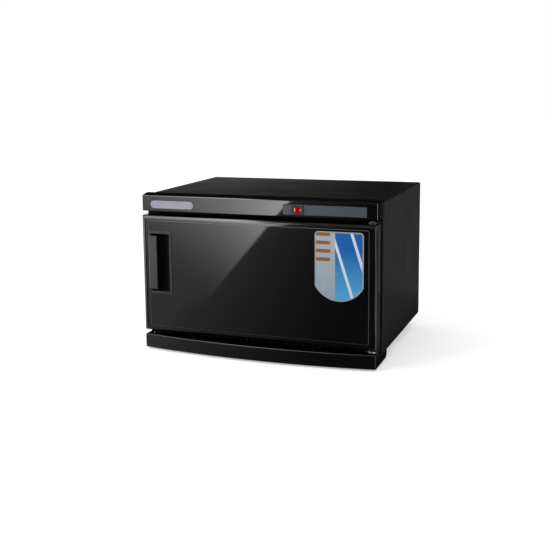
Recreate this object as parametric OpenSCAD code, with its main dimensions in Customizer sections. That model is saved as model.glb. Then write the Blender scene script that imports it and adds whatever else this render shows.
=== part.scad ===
// Hot-towel cabinet with a steriliser lamp: a folded steel case on rubber feet, a front door hung at its
// right, a control fascia above the door and a bowed drip tray below it.
// Part frame: X to the viewer's right, Y to the back, Z up, origin on the floor below the middle of the
// overall box. Modules draw in the case frame: Y from the case's front edge, Z from the case's underside.

/* [Case] */
// Width of the folded steel case
case_w = 350; // [320:1:420]
// Depth of the folded steel case
case_d = 245; // [230:1:300]
// Height of the folded steel case, without feet and fascia
case_h = 208; // [195:1:260]
// Thickness of the steel sheet
sheet = 1; // [0.8:0.1:1.4]
// Outside radius of the folded edges
bend_r = 2.5; // [2:0.5:5]
// Width of the flanges turned in at the bottom and the rear
flange_w = 14; // [12:1:18]
// Depth of the rear panel inside the case's rear edge
rear_recess = 3.5; // [3:0.5:8]
// Number of ventilation slots in the rear panel
vent_n = 14; // [6:1:20]
// Width of a ventilation slot
vent_w = 3; // [2:0.5:4]
// Height of a ventilation slot
vent_h = 12; // [8:1:14]
// Distance between ventilation slots
vent_pitch = 8; // [6:0.5:10]

/* [Feet] */
// Height of a rubber foot
foot_h = 18; // [16:0.5:30]
// Diameter of a foot at the case
foot_d = 30; // [24:1:36]
// Diameter of a foot at the floor
foot_tip_d = 26; // [18:1:30]
// Distance of the feet from the case's sides
foot_side = 34; // [26:1:60]
// Distance of the front feet from the drip tray's rear
foot_front = 24; // [20:1:60]
// Distance of the rear feet from the case's rear
foot_rear = 34; // [26:1:60]

/* [Fascia] */
// Height of the fascia
fascia_h = 24; // [22:0.5:30]
// Reach of the fascia in front of the case
fascia_reach = 21.5; // [20:0.5:30]
// Lap of the fascia over the case's front edge
fascia_lap = 5; // [3:0.5:10]
// Thickness of the lap on the case's top and sides
fascia_lap_t = 1.5; // [1:0.1:2.5]
// Taper of each end of the fascia towards its front
fascia_draft = 4.4; // [0:0.1:6]
// Wall of the fascia
fascia_wall = 2.4; // [1.8:0.1:3]
// Radius of the fascia's front edges
fascia_r = 1; // [0.5:0.5:4]
// Length of the badge plate
badge_l = 67; // [30:1:90]
// Height of the badge plate
badge_h = 11; // [6:0.5:14]
// Distance of the badge plate from the fascia's left end
badge_in = 13.3; // [8:0.1:40]
// Length of the control inlay
inlay_l = 116; // [80:0.5:140]
// Height of the control inlay
inlay_h = 13.6; // [12:0.2:16]
// Distance of the control inlay from the fascia's right end
inlay_in = 14.3; // [8:0.1:30]
// Depth of the recesses that hold the badge and the inlay
recess_d = 0.8; // [0.4:0.1:1]
// How far badge and inlay stand out of their recesses
trim_proud = 0.3; // [0.1:0.1:0.6]
// Distance of badge and inlay below the middle of the fascia
trim_low = 2; // [0.5:0.1:3]

/* [Switch] */
// Distance of the switch's middle from the inlay's left end
switch_in = 20.5; // [14:0.1:40]
// Width of the rocker
rocker_w = 12; // [9:0.5:14]
// Height of the rocker
rocker_h = 8; // [6:0.5:9]
// Distance of the rocker's middle from its axis
rocker_rise = 2.6; // [2:0.1:4]
// Depth of the rocker behind its axis
rocker_tail = 2.5; // [1.5:0.1:4]
// Angle that the rocker tips to each side
rocker_tip = 9; // [6:1:12]
// Wall of the switch housing
switch_wall = 0.8; // [0.6:0.1:1.2]
// Overlap of the bezel on the inlay
bezel_lap = 0.9; // [0.5:0.1:1.5]
// Height of the bezel in front of the inlay
bezel_t = 1.6; // [1:0.1:2.5]
// Depth of the switch housing behind the inlay
switch_depth = 12; // [9:0.5:15]
// Diameter of the rocker's trunnions
trunnion_d = 1.8; // [1.2:0.1:2.4]

/* [Door] */
// Distance of the door's sides from the case's sides
door_side = 2; // [1.5:0.5:8]
// Gap between door and fascia
door_gap = 6; // [5.5:0.5:9]
// Height of the door's lower edge above the case's underside
door_up = 10.5; // [10:0.5:20]
// Depth of the door in front of its inner panel
door_t = 12; // [12:0.5:24]
// Depth of the door's inner panel
inner_t = 9; // [7:0.5:14]
// Space between the inner panel and the front frame
door_space = 4; // [3.5:0.5:6]
// Width of the shallow bevel at the sides of the door's front
bevel_side = 11; // [6:0.5:14]
// Width of the shallow bevel at the top and bottom of the door's front
bevel_end = 7.6; // [6:0.1:14]
// Depth of the bevel round the door's front
bevel_d = 0.1; // [0.1:0.1:3]
// Radius where the bevel meets the flat front
bevel_r = 6; // [1:0.5:10]
// Height of the flat field above the bevel
field_d = 0.5; // [0.3:0.1:1]
// Radius of the field's corners
field_r = 2.5; // [1:0.5:6]
// Radius of the door's outer edges
edge_r = 3.5; // [2.5:0.5:5]
// Wall of the front moulding
door_wall = 2.5; // [2:0.1:3.5]
// Wall of the inner panel
inner_wall = 2.5; // [2.2:0.1:3.5]
// How far the moulding's skirt stops short of the inner panel's back
skirt_short = 0.5; // [0.3:0.1:3]
// Height of the raised field on the inner panel
field_t = 2; // [1:0.5:3]
// Width of the gasket
gasket_w = 8; // [6:0.5:10]
// Depth of the groove that holds the gasket
groove_d = 1.5; // [1:0.1:1.7]

/* [Handle] */
// Width of the handle's rim
handle_w = 36.5; // [30:0.5:45]
// Height of the handle's rim
handle_h = 91; // [70:1:110]
// Distance of the rim from the door's left edge
handle_in = 10.5; // [10:0.5:30]
// Height of the rim's middle above the door's lower edge
handle_up = 101.5; // [70:0.5:105]
// Width of the rim
rim_w = 3.5; // [2.5:0.1:5]
// How far the rim stands out of the door
rim_proud = 0.8; // [0.4:0.1:2]
// Depth of the finger pocket
pocket_d = 12.5; // [9:0.5:13]
// Wall of the finger pocket
pocket_wall = 1.6; // [1.2:0.1:2]
// Width of the grip that overhangs the pocket
grip_w = 14.5; // [9:0.5:18]
// Height of the grip
grip_h = 77; // [50:1:80]
// Thickness of the grip
grip_t = 3; // [2:0.5:4]
// How far the grip stands out of the door
grip_proud = 3.4; // [2:0.1:5]

/* [Hinges] */
// Distance of the hinge axis from the door's right edge
hinge_in = 7.5; // [7.5:0.5:9]
// Distance of the hinge axis from the door's back
hinge_back = 14; // [13.5:0.5:18]
// Diameter of the hinge pins
pin_d = 5; // [4:0.5:6]
// Reach of a hinge pin into the door
pin_reach = 13; // [10:1:20]
// Wall of the hinge bushes
bush_wall = 1.2; // [1:0.1:1.5]
// Thickness of a bush's collar
collar_t = 1; // [0.6:0.1:1.5]
// Thickness of the hinge brackets
bracket_t = 2; // [1.5:0.1:2.2]
// Width of the hinge brackets
bracket_w = 13.5; // [12:0.5:16]
// Height of the brackets' leg on the front frame
bracket_leg = 28; // [22:1:40]
// Thickness of the pin's head
pin_head_t = 1.2; // [0.8:0.1:1.6]

/* [Drip tray] */
// Distance of the tray's sides from the case's sides
tray_side = 3; // [2:0.5:8]
// Reach of the tray's ends in front of the case
tray_reach = 24; // [20:0.5:30]
// Bow of the tray's front
tray_bow = 14; // [6:0.5:20]
// Reach of the tray below the case
tray_back = 40; // [30:1:60]
// Height of the front wall above the case's underside
tray_lip = 4.5; // [2:0.5:6]
// Clearance of the tray above the floor
tray_ground = 2.5; // [2:0.5:5]
// Wall of the tray
tray_wall = 2; // [1.5:0.1:3]
// Radius of the tray's lower rear edge
tray_r = 8; // [3:0.5:9]
// Width of the runners at the tray's sides
runner_w = 10; // [8:0.5:14]

/* [Chamber] */
// Depth of the front frame
frame_t = 14; // [12:0.5:20]
// Wall of the front frame
frame_wall = 2.5; // [2:0.1:3.5]
// Overlap of the door on the frame at the chamber's sides
overlap_side = 27; // [26:0.5:40]
// Overlap of the door on the frame above the chamber
overlap_top = 14; // [13:0.5:30]
// Overlap of the door on the frame below the chamber
overlap_low = 15.5; // [13:0.5:30]
// Radius of the chamber's long edges
chamber_r = 8; // [4:0.5:9]
// Space between the chamber and the rear panel
chamber_rear = 30; // [24:1:50]
// Thickness of the chamber liner
liner_t = 1; // [0.6:0.1:1.5]
// Width of the liner's front flange
liner_flange = 8; // [6:0.5:10]

/* [Rack] */
// Height of the rack rails' top above the chamber's floor
rack_lift = 20; // [20:1:40]
// Width of a rack rail's legs
rail_leg = 10; // [6:0.5:11]
// Thickness of the rack rails
rail_t = 1.2; // [0.8:0.1:2]
// Diameter of the rack's frame wire
rack_wire = 4; // [3:0.5:5]
// Diameter of the rack's bars
rack_bar = 2.5; // [2:0.5:4]
// Number of the rack's bars
rack_n = 15; // [7:1:21]
// Clearance of the rack at the chamber's sides
rack_side = 3; // [1.5:0.5:5]
// Clearance of the rack at the chamber's ends
rack_end = 6; // [3:0.5:12]
// Radius of the rack's corners
rack_r = 10; // [6:1:16]

/* [Lamp] */
// Diameter of the lamp tube
lamp_d = 15.5; // [12:0.5:16]
// Length of the lamp with its caps
lamp_l = 136; // [100:1:220]
// Length of a lamp cap
cap_l = 10; // [8:0.5:14]
// Distance of the lamp's axis from the rear wall and the ceiling
lamp_in = 13; // [11.5:0.5:15]
// Thickness of a lamp holder
holder_t = 9; // [6:0.5:14]
// Width of the guard across the chamber's corner
guard_leg = 44; // [42:1:54]
// Thickness of the guard
guard_t = 1; // [0.8:0.1:1.5]
// Width of the guard's fixing flanges
guard_flange = 9; // [6:0.5:12]

/* [Inside] */
// Diameter of the heating wire
wire_d = 3; // [2:0.5:4]
// Number of the heating wire's runs
wire_n = 11; // [5:2:13]
// Distance between the heating wire's runs
wire_pitch = 15; // [12:0.5:16]
// Length of the heating wire's straight runs
wire_run = 240; // [160:5:260]
// Height of the lamp ballast
ballast_h = 15; // [10:0.5:17]
// Diameter of the cord inlet's bore
inlet_bore = 7.2; // [5:0.1:8]
// Distance of the cord inlet from the case's side
inlet_in = 55; // [35:1:75]

/* [Fasteners and clearances] */
// Diameter of the screws
screw_d = 3; // [2.5:0.1:3.5]
// Diameter of the screw heads
head_d = 6; // [5:0.1:6.5]
// Height of the screw heads
head_h = 1.8; // [1.2:0.1:2.2]
// Gap between pieces that are set beside each other
fit = 0.3; // [0.2:0.05:0.4]
// Gap between pieces that move past each other
run_gap = 0.5; // [0.4:0.1:0.8]
// Radial clearance of pins in their bores
pin_clear = 0.05; // [0.02:0.01:0.1]

/* [Hidden] */
$fn = 48;

case_black = "#1c1c1e";
gloss_black = "#101012";
trim_black = "#18181a";
rubber_black = "#202020";
steel = "#b9bcc0";
alloy = "#d3d5d8";
chrome = "#dfe2e6";
white = "#ececea";
badge_silver = "#a9a7bb";
inlay_grey = "#4d535e";
switch_red = "#c01624";
glass_blue = "#c9dcec";
wool = "#d8cfae";

eps = 0.1;
screw_hole_r = screw_d / 2 + fit / 2;
cross_w = 0.8;
boss_d = 7;
boss_l = 10;
boss_weld = 1;
tab_reach = 8;
tab_w = 12;

// Case, feet and rear, in the case frame
tray_z = tray_ground - foot_h;
rear_y = case_d - rear_recess - sheet;
case_y = (tray_reach + tray_bow - case_d) / 2;
foot_x = case_w / 2 - foot_side;
foot_front_y = tray_back + foot_front;
foot_rear_y = case_d - foot_rear;
foot_band = 4;
foot_band_r = 1;
foot_edge_r = 1.5;
foot_screw_l = 10;
inlet_x = case_w / 2 - inlet_in;
inlet_neck_r = inlet_bore / 2 + 2.6;
inlet_rim_r = inlet_neck_r + 1.6;
inlet_flare = 0.8;
inlet_flange_t = 2;

// Fascia and switch
fascia_top = case_h + fit + fascia_lap_t;
fascia_z = fascia_top - fascia_h;
fascia_x = case_w / 2 + fit + fascia_lap_t;
fascia_tab_x = case_w / 2 - 50;
fascia_screw_l = 9;
trim_z = fascia_z + fascia_h / 2 - trim_low;
trim_y = -fascia_reach + recess_d;
face_y = -fascia_reach - trim_proud;
fascia_front_x = fascia_x - fascia_draft;
badge_x = -fascia_front_x + badge_in + badge_l / 2;
inlay_x = fascia_front_x - inlay_in - inlay_l / 2;
inlay_r = 1;
switch_x = inlay_x - inlay_l / 2 + switch_in;
rocker_y = face_y + rocker_rise - bezel_t;
rocker_end = rocker_rise + rocker_w / 2 * tan(rocker_tip);
rocker_edge_r = 0.6;
rocker_tail_w = 6;
cavity_x = rocker_w / 2 * cos(rocker_tip) + max(rocker_end, rocker_tail) * sin(rocker_tip) + run_gap / 2;
cavity_z = rocker_h / 2 + run_gap / 2;
body_x = cavity_x + switch_wall;
body_z = cavity_z + switch_wall;
bezel_r = 0.8;
blade_gap = 6;
blade_t = 0.8;
blade_w = 4.8;
blade_l = 7;

// Door and handle
door_x = case_w / 2 - door_side;
door_z = door_up;
door_top = fascia_z - door_gap;
door_h = door_top - door_z;
door_middle = (door_z + door_top) / 2;
door_back = -door_space;
door_mid = door_back - inner_t;
door_y = door_mid - door_t;
bevel_y = door_y + field_d;
door_skirt = door_back - skirt_short;
inner_in = door_wall + fit;
inner_r = 3;
handle_x = -door_x + handle_in + handle_w / 2;
handle_z = door_z + handle_up;
pocket_w = handle_w - 2 * rim_w;
pocket_h = handle_h - 2 * rim_w;
rim_r = 3;
pocket_r = 2;
grip_back_r = 2.2;
grip_edge_r = 1;
grip_root = 0.4;
grip_root_d = 2;

// Front frame and chamber
frame_x = case_w / 2 - sheet - fit;
frame_low = 2 * sheet + fit;
frame_top = fascia_z - fit;
chamber_w = 2 * (door_x - overlap_side);
chamber_z = door_z + overlap_low;
chamber_top = door_top - overlap_top;
chamber_h = chamber_top - chamber_z;
chamber_back = rear_y - chamber_rear - liner_t;
chamber_d = chamber_back - frame_t;

// Gasket, catch and door switch
gasket_out = gasket_w / 2 + 2;
gasket_h = door_space + groove_d - fit;
bulb_r = 2.2;
field_gap = 1;
border_x = door_x - inner_in - 6.5;
strike_t = 1.2;
catch_w = 8;
catch_h = 30;
catch_t = 12;
catch_y = door_back + strike_t + run_gap;
catch_z = door_middle + 14;
plunger_d = 4;
plunger_l = 13;
plunger_z = door_middle - 46;
nose_d = plunger_d + 4;
switch_back = frame_t - 1;

// Hinges
hinge_x = door_x - hinge_in;
hinge_y = door_back - hinge_back;
bush_r = pin_d / 2 + pin_clear + bush_wall;
bush_l = pin_reach + 2;
collar_rim = 1.4;
upper_z = door_top + collar_t + run_gap;
lower_z = door_z - collar_t - run_gap;
hinge_boss_x = bush_r + fit + door_wall;
hinge_boss_y = bush_r + fit + door_wall / 2;
pin_rim = 1.2;
pin_head_r = 0.5;
pin_tip_r = 0.8;
foam_gap = 1;
foam_in = door_wall + bevel_end + 3;
foam_x = min(border_x - boss_d / 2, hinge_x - hinge_boss_x) - foam_gap;

// Drip tray and its rails
tray_x = case_w / 2 - tray_side;
tray_arc_r = (pow(tray_x, 2) + pow(tray_bow, 2)) / (2 * tray_bow);
tray_under = 1;
tray_step = 1;
runner_y = 3;
runner_top = -3;
runner_t = 1.5;
rail_web_x = tray_x - tray_wall - runner_w - run_gap;
rail_low = runner_top - runner_t - run_gap;
rail_top_w = 16;
rail_l = tray_back - tray_wall - tray_r;
tray_screw_x = rail_web_x - rail_top_w / 2;

// Rack, lamp and guard
rack_z = chamber_z + rack_lift;
weld = 0.6;
bar_over = 1;
lamp_y = chamber_back - lamp_in;
lamp_z = chamber_top - lamp_in;
lamp_wall = 1;
cap_rim = 0.5;
lamp_pin_gap = 5;
lamp_pin_d = 2;
lamp_pin_l = 6;
holder_rim = 1.5;
guard_l = lamp_l + 2 * holder_t + 30;
guard_turn = guard_t * tan(22.5);
guard_slot_n = 5;
guard_slot_l = 28;
guard_slot_w = 5;
guard_slot_pitch = 34;
guard_row_n = 4;
guard_row_pitch = 13.5;

// Heating, insulation and electrics
sensor_y = chamber_back + liner_t;
sensor_room = 14;
thermostat_x = -40;
thermostat_d = 16;
thermostat_h = 7;
thermostat_cap_d = 12;
thermostat_cap_h = 11;
thermostat_l = 26;
thermostat_w = 14;
fuse_x = 17;
fuse_d = 5;
fuse_l = 14;
saddle_l = 10;
saddle_h = 8;
insulation_gap = 2;
base_space = 6;
shelf_z = frame_top;
shelf_x = case_w / 2 - flange_w - fit;
shelf_lip = 5;
inlet_z = (shelf_z + case_h) / 2;
ballast_in = 80.7;
ballast_x = ballast_in - shelf_x;
ballast_y = 90;
ballast_l = 72;
ballast_w = 34;
ballast_lug = 10;
ballast_lug_t = 2;
terminal_l = 40;
terminal_gap = 34;
terminal_x = ballast_x + ballast_l / 2 + ballast_lug + terminal_gap + terminal_l / 2;
terminal_y = 150;
terminal_w = 18;
terminal_h = 12;
pole_n = 4;
pole_pitch = 9;
pole_d = 4.5;
pole_depth = 8;

// Screw places
rear_side_x = case_w / 2 - sheet - 7;
rear_side_pitch = 74;
rear_low_pitch = 100;
rear_low_z = 8;
rear_screws_at = concat(
    [for (s = [-1, 1], k = [-1, 0, 1]) [s * rear_side_x, case_h / 2 + k * rear_side_pitch]],
    [for (k = [-1, 0, 1]) [k * rear_low_pitch, rear_low_z]]);
foot_places = [for (s = [-1, 1], y = [foot_front_y, foot_rear_y]) [s * foot_x, y]];
base_screw_x = case_w / 2 - sheet - 6;
base_screws_at = [for (s = [-1, 1], y = [foot_front_y, foot_rear_y]) [s * base_screw_x, y]];
door_screw_end = bush_l + boss_d / 2 - boss_weld;
door_screws_at = concat([[border_x, door_middle]],
    [for (s = [-1, 1], z = [door_z + door_screw_end, door_top - door_screw_end]) [s * border_x, z]]);
hinge_screw_near = 9;
hinge_screw_far = 7;
hinge_screws_up = [for (d = [hinge_screw_near, bracket_leg - hinge_screw_far])
    [hinge_x, upper_z + bracket_t - d]];
hinge_screws_low = [for (d = [hinge_screw_near, bracket_leg - hinge_screw_far])
    [hinge_x, lower_z - bracket_t + d]];
hinge_screws_at = concat(hinge_screws_up, hinge_screws_low);
fascia_tabs_x = [-fascia_tab_x, 0, fascia_tab_x];
tray_screw_in = 7;
tray_screws_at = [for (s = [-1, 1], y = [runner_y + tray_screw_in, runner_y + rail_l - tray_screw_in])
    [s * tray_screw_x, y]];

// Rounded outlines: each point is [x, y, radius]
function unit(v) = v / norm(v);
function corner_arc(p, a, b, r, n) =
    r == 0 ? [p] :
    let (u = unit(a - p), v = unit(b - p), half = acos(u * v) / 2,
         c = p + unit(u + v) * r / sin(half),
         s = p + u * r / tan(half) - c,
         e = p + v * r / tan(half) - c,
         start = atan2(s.y, s.x),
         turn = atan2(s.x * e.y - s.y * e.x, s * e))
    [for (i = [0 : n]) c + r * [cos(start + turn * i / n), sin(start + turn * i / n)]];
function flat(p) = [p.x, p.y];
function rounded(pts, n = 5) =
    let (k = len(pts))
    [for (i = [0 : k - 1])
        each corner_arc(flat(pts[i]), flat(pts[(i + k - 1) % k]), flat(pts[(i + 1) % k]), pts[i].z, n)];

module in_case() translate([0, case_y, foot_h]) children();
module block(a, b) translate(a) cube(b - a);
module rect(a, b) translate(a) square(b - a);
// An outline in X and Z with a thickness along Y
module plate_y(y, t) translate([0, y + t, 0]) rotate([90, 0, 0]) linear_extrude(t) children();
// An outline in Y and Z with a thickness along X
module plate_x(x, t) translate([x, 0, 0]) rotate([90, 0, 90]) linear_extrude(t) children();
// Turns what points along Z to point along Y
module along_y(p) translate(p) rotate([-90, 0, 0]) children();
module along_x(p) translate(p) rotate([0, 90, 0]) children();

module round_rect(w, h, r) {
    square([w - 2 * r, h], center = true);
    square([w, h - 2 * r], center = true);
    for (x = [-1, 1], y = [-1, 1]) translate([x * (w / 2 - r), y * (h / 2 - r)]) circle(r);
}

module capsule(l, h) {
    square([l - h, h], center = true);
    for (s = [-1, 1]) translate([s * (l - h) / 2, 0]) circle(h / 2);
}

// Pan-head screw with a cross recess: seat at z = 0, head up, shank down
module pan_screw(l) difference() {
    union() {
        cylinder(h = head_h, d1 = head_d, d2 = head_d - head_h);
        translate([0, 0, -l]) cylinder(h = l + eps, d = screw_d);
    }
    for (a = [0, 90]) rotate(a) translate([0, 0, head_h]) cube([screw_d, cross_w, head_h], center = true);
}

// Countersunk screw: head's face at z = 0, shank down
module flat_screw(l) difference() {
    union() {
        translate([0, 0, -bracket_t]) cylinder(h = bracket_t, d1 = screw_d, d2 = head_d);
        translate([0, 0, -l]) cylinder(h = l, d = screw_d);
    }
    for (a = [0, 90]) rotate(a) cube([screw_d, cross_w, head_h], center = true);
}

// Clear holes for screws through sheets that lie across Z or Y
module holes_z(places, z, t) for (p = places) translate([p.x, p.y, z]) cylinder(h = t, r = screw_hole_r);
module holes_y(places, y, t) for (p = places) along_y([p.x, y, p.y]) cylinder(h = t, r = screw_hole_r);

// Case, base and rear

module case_outline(i) {
    translate([0, case_h / 2]) round_rect(case_w - 2 * i, case_h - 2 * i, bend_r - i);
    rect([-case_w / 2 + i, i], [case_w / 2 - i, case_h / 2]);
}

module outer_case() color(case_black) in_case() difference() {
    union() {
        plate_y(0, case_d) difference() {
            case_outline(0);
            case_outline(sheet);
            rect([flange_w - case_w / 2, -sheet], [case_w / 2 - flange_w, 2 * sheet]);
        }
        plate_y(rear_y - sheet, sheet) difference() {
            case_outline(0);
            rect([flange_w - case_w / 2, -sheet], [case_w / 2 - flange_w, case_h - sheet]);
        }
    }
    holes_y(rear_screws_at, rear_y - 2 * sheet, 3 * sheet);
    holes_z(base_screws_at, -sheet, 3 * sheet);
}

module base_panel() color(steel) in_case() difference() {
    union() {
        block([-frame_x, 0, sheet], [frame_x, rear_y - sheet - fit, 2 * sheet]);
        block([-shelf_x, 0, sheet], [shelf_x, rear_y, 2 * sheet]);
        block([-shelf_x, rear_y - sheet, sheet], [shelf_x, rear_y, flange_w]);
    }
    holes_y(rear_screws_at, rear_y - 2 * sheet, 3 * sheet);
    holes_z(concat(base_screws_at, foot_places, tray_screws_at), 0, 3 * sheet);
}

module base_screws() color(steel) in_case()
    for (p = base_screws_at) translate([p.x, p.y, 0]) mirror([0, 0, 1]) pan_screw(4 * sheet);

module rear_panel() color(case_black) in_case() difference() {
    union() {
        plate_y(rear_y, sheet) case_outline(sheet + fit);
        block([-shelf_x, rear_y - flange_w, case_h - 2 * sheet - fit],
              [shelf_x, rear_y + sheet, case_h - sheet - fit]);
    }
    for (k = [0 : vent_n - 1])
        translate([(k - (vent_n - 1) / 2) * vent_pitch, 0, inlet_z])
            plate_y(rear_y - sheet, 3 * sheet) rotate(90) capsule(vent_h, vent_w);
    holes_y(rear_screws_at, rear_y - sheet, 3 * sheet);
    along_y([-inlet_x, rear_y - sheet, inlet_z]) cylinder(h = 3 * sheet, r = inlet_neck_r + fit / 2);
}

module rear_screws() color(steel) in_case()
    for (p = rear_screws_at) along_y([p.x, rear_y + sheet, p.y]) pan_screw(3 * sheet);

module cord_inlet() color(rubber_black) in_case() along_y([-inlet_x, rear_y + sheet, inlet_z]) difference() {
    union() {
        cylinder(h = inlet_flange_t, r1 = inlet_rim_r + inlet_flare, r2 = inlet_rim_r);
        translate([0, 0, -sheet - eps]) cylinder(h = sheet + 2 * eps, r = inlet_neck_r);
        translate([0, 0, -sheet - inlet_flange_t]) cylinder(h = inlet_flange_t, r = inlet_rim_r);
    }
    translate([0, 0, -sheet - 2 * inlet_flange_t]) cylinder(h = 6 * inlet_flange_t, d = inlet_bore);
}

// Feet

module foot(x, y) color(rubber_black) in_case() translate([x, y, sheet]) difference() {
    rotate_extrude() polygon(rounded([
        [0, 0, 0], [foot_d / 2, 0, 0], [foot_d / 2, -foot_band, foot_band_r],
        [foot_tip_d / 2, -foot_h - sheet, foot_edge_r], [0, -foot_h - sheet, 0]]));
    translate([0, 0, -foot_screw_l]) cylinder(h = foot_screw_l + eps, r = screw_hole_r);
}
module foot_front_left() foot(-foot_x, foot_front_y);
module foot_front_right() foot(foot_x, foot_front_y);
module foot_rear_left() foot(-foot_x, foot_rear_y);
module foot_rear_right() foot(foot_x, foot_rear_y);

module foot_screws() color(steel) in_case()
    for (p = foot_places) translate([p.x, p.y, 2 * sheet]) pan_screw(foot_screw_l);

// Fascia and switch

// Plan of the fascia inset by i: straight laps on the case's sides, then ends that taper to the front
module fascia_plan(i, back, r) polygon(rounded([
    [-fascia_x + i, fascia_lap + back, 0], [-fascia_x + i, -fit, 0],
    [-fascia_front_x + i, -fascia_reach + i, r], [fascia_front_x - i, -fascia_reach + i, r],
    [fascia_x - i, -fit, 0], [fascia_x - i, fascia_lap + back, 0]]));

module fascia_form() intersection() {
    plate_x(-fascia_x, 2 * fascia_x) polygon(rounded([
        [fascia_lap, fascia_z, 0], [fascia_lap, fascia_top, 0],
        [-fascia_reach, fascia_top, fascia_r], [-fascia_reach, fascia_z, fascia_r]]));
    translate([0, 0, fascia_z]) linear_extrude(fascia_h) fascia_plan(0, 0, fascia_r);
}

module top_fascia() color(gloss_black) in_case() difference() {
    union() {
        difference() {
            fascia_form();
            translate([0, 0, fascia_z + fascia_wall]) linear_extrude(fascia_h - 2 * fascia_wall)
                fascia_plan(fascia_wall, 1, 0);
            block([-case_w / 2 - fit, -fit, fascia_z - 1], [case_w / 2 + fit, fascia_lap + 1, case_h + fit]);
        }
        for (x = fascia_tabs_x)
            block([x - tab_w / 2, -fascia_wall, fascia_z],
                  [x + tab_w / 2, tab_reach, fascia_z + fascia_wall]);
    }
    plate_y(-fascia_reach - 1, recess_d + 1)
        translate([badge_x, trim_z]) capsule(badge_l + fit, badge_h + fit);
    plate_y(-fascia_reach - 1, recess_d + 1)
        translate([inlay_x, trim_z]) round_rect(inlay_l + fit, inlay_h + fit, inlay_r);
    translate([switch_x, 0, trim_z]) block([-body_x - fit, -fascia_reach - 1, -body_z - fit],
                                           [body_x + fit, -fascia_reach + 2 * fascia_wall, body_z + fit]);
    holes_z([for (x = fascia_tabs_x) [x, tab_reach / 2]], fascia_z - 1, 2 * fascia_wall);
}

module fascia_screws() color(steel) in_case()
    for (x = fascia_tabs_x) translate([x, tab_reach / 2, fascia_z + fascia_wall]) pan_screw(fascia_screw_l);

module badge_plate() color(badge_silver) in_case()
    plate_y(face_y, recess_d + trim_proud) translate([badge_x, trim_z]) capsule(badge_l, badge_h);

module control_inlay() color(inlay_grey) in_case() difference() {
    plate_y(face_y, recess_d + trim_proud) translate([inlay_x, trim_z]) round_rect(inlay_l, inlay_h, inlay_r);
    translate([switch_x, 0, trim_z])
        block([-body_x - fit, face_y - 1, -body_z - fit], [body_x + fit, trim_y + 1, body_z + fit]);
}

// The rocker turns about a vertical axis; the cavity clears its corners at both ends of its travel
module switch_housing() color(trim_black) in_case() translate([switch_x, face_y, trim_z]) difference() {
    union() {
        plate_y(-bezel_t, bezel_t) round_rect(2 * (body_x + bezel_lap), 2 * (body_z + bezel_lap), bezel_r);
        block([-body_x, -eps, -body_z], [body_x, switch_depth, body_z]);
        for (s = [-1, 1]) translate([s * blade_gap / 2, switch_depth, 0])
            block([-blade_t / 2, -eps, -blade_w / 2], [blade_t / 2, blade_l, blade_w / 2]);
    }
    block([-cavity_x, -bezel_t - 1, -cavity_z], [cavity_x, switch_depth - 2 * switch_wall, cavity_z]);
    translate([0, rocker_y - face_y, -body_z - 1])
        cylinder(h = 2 * body_z + 2, d = trunnion_d + 2 * pin_clear);
}

module switch_rocker() color(switch_red) in_case()
    translate([switch_x, rocker_y, trim_z]) rotate(rocker_tip) {
        translate([0, 0, -rocker_h / 2]) linear_extrude(rocker_h) polygon(rounded([
            [-rocker_w / 2, -rocker_end, rocker_edge_r], [0, -rocker_rise, 0],
            [rocker_w / 2, -rocker_end, rocker_edge_r], [rocker_w / 2, 0, 0],
            [rocker_tail_w / 2, rocker_tail, rocker_edge_r], [-rocker_tail_w / 2, rocker_tail, rocker_edge_r],
            [-rocker_w / 2, 0, 0]]));
        translate([0, 0, -body_z + eps]) cylinder(h = 2 * (body_z - eps), d = trunnion_d);
    }

// Front frame and hinges

module frame_outline(i) rect([-frame_x + i, frame_low + i], [frame_x - i, frame_top - i]);
module chamber_outline(g) translate([0, chamber_z + chamber_h / 2])
    round_rect(chamber_w + 2 * g, chamber_h + 2 * g, chamber_r + g);

module front_frame() color(trim_black) in_case() difference() {
    union() {
        difference() {
            plate_y(0, frame_t) frame_outline(0);
            plate_y(frame_wall, frame_t) difference() {
                frame_outline(frame_wall);
                chamber_outline(frame_wall);
            }
        }
        for (p = hinge_screws_at) along_y([p.x, frame_wall - eps, p.y]) cylinder(h = boss_l, d = boss_d);
        for (x = fascia_tabs_x)
            block([x - boss_d / 2, frame_wall - eps, frame_top - boss_l],
                  [x + boss_d / 2, switch_back, frame_top - eps]);
    }
    plate_y(-1, frame_t + 2) chamber_outline(0);
    holes_y(hinge_screws_at, -1, boss_l + 1);
    holes_z([for (x = fascia_tabs_x) [x, tab_reach / 2]], frame_top - boss_l + 1, boss_l);
    block([-border_x - catch_w / 2 - fit, -1, catch_z - catch_h / 2 - fit],
          [-border_x + catch_w / 2 + fit, frame_wall + 1, catch_z + catch_h / 2 + fit]);
    along_y([-border_x, -1, plunger_z]) cylinder(h = frame_wall + 2, d = nose_d + fit);
}

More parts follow.
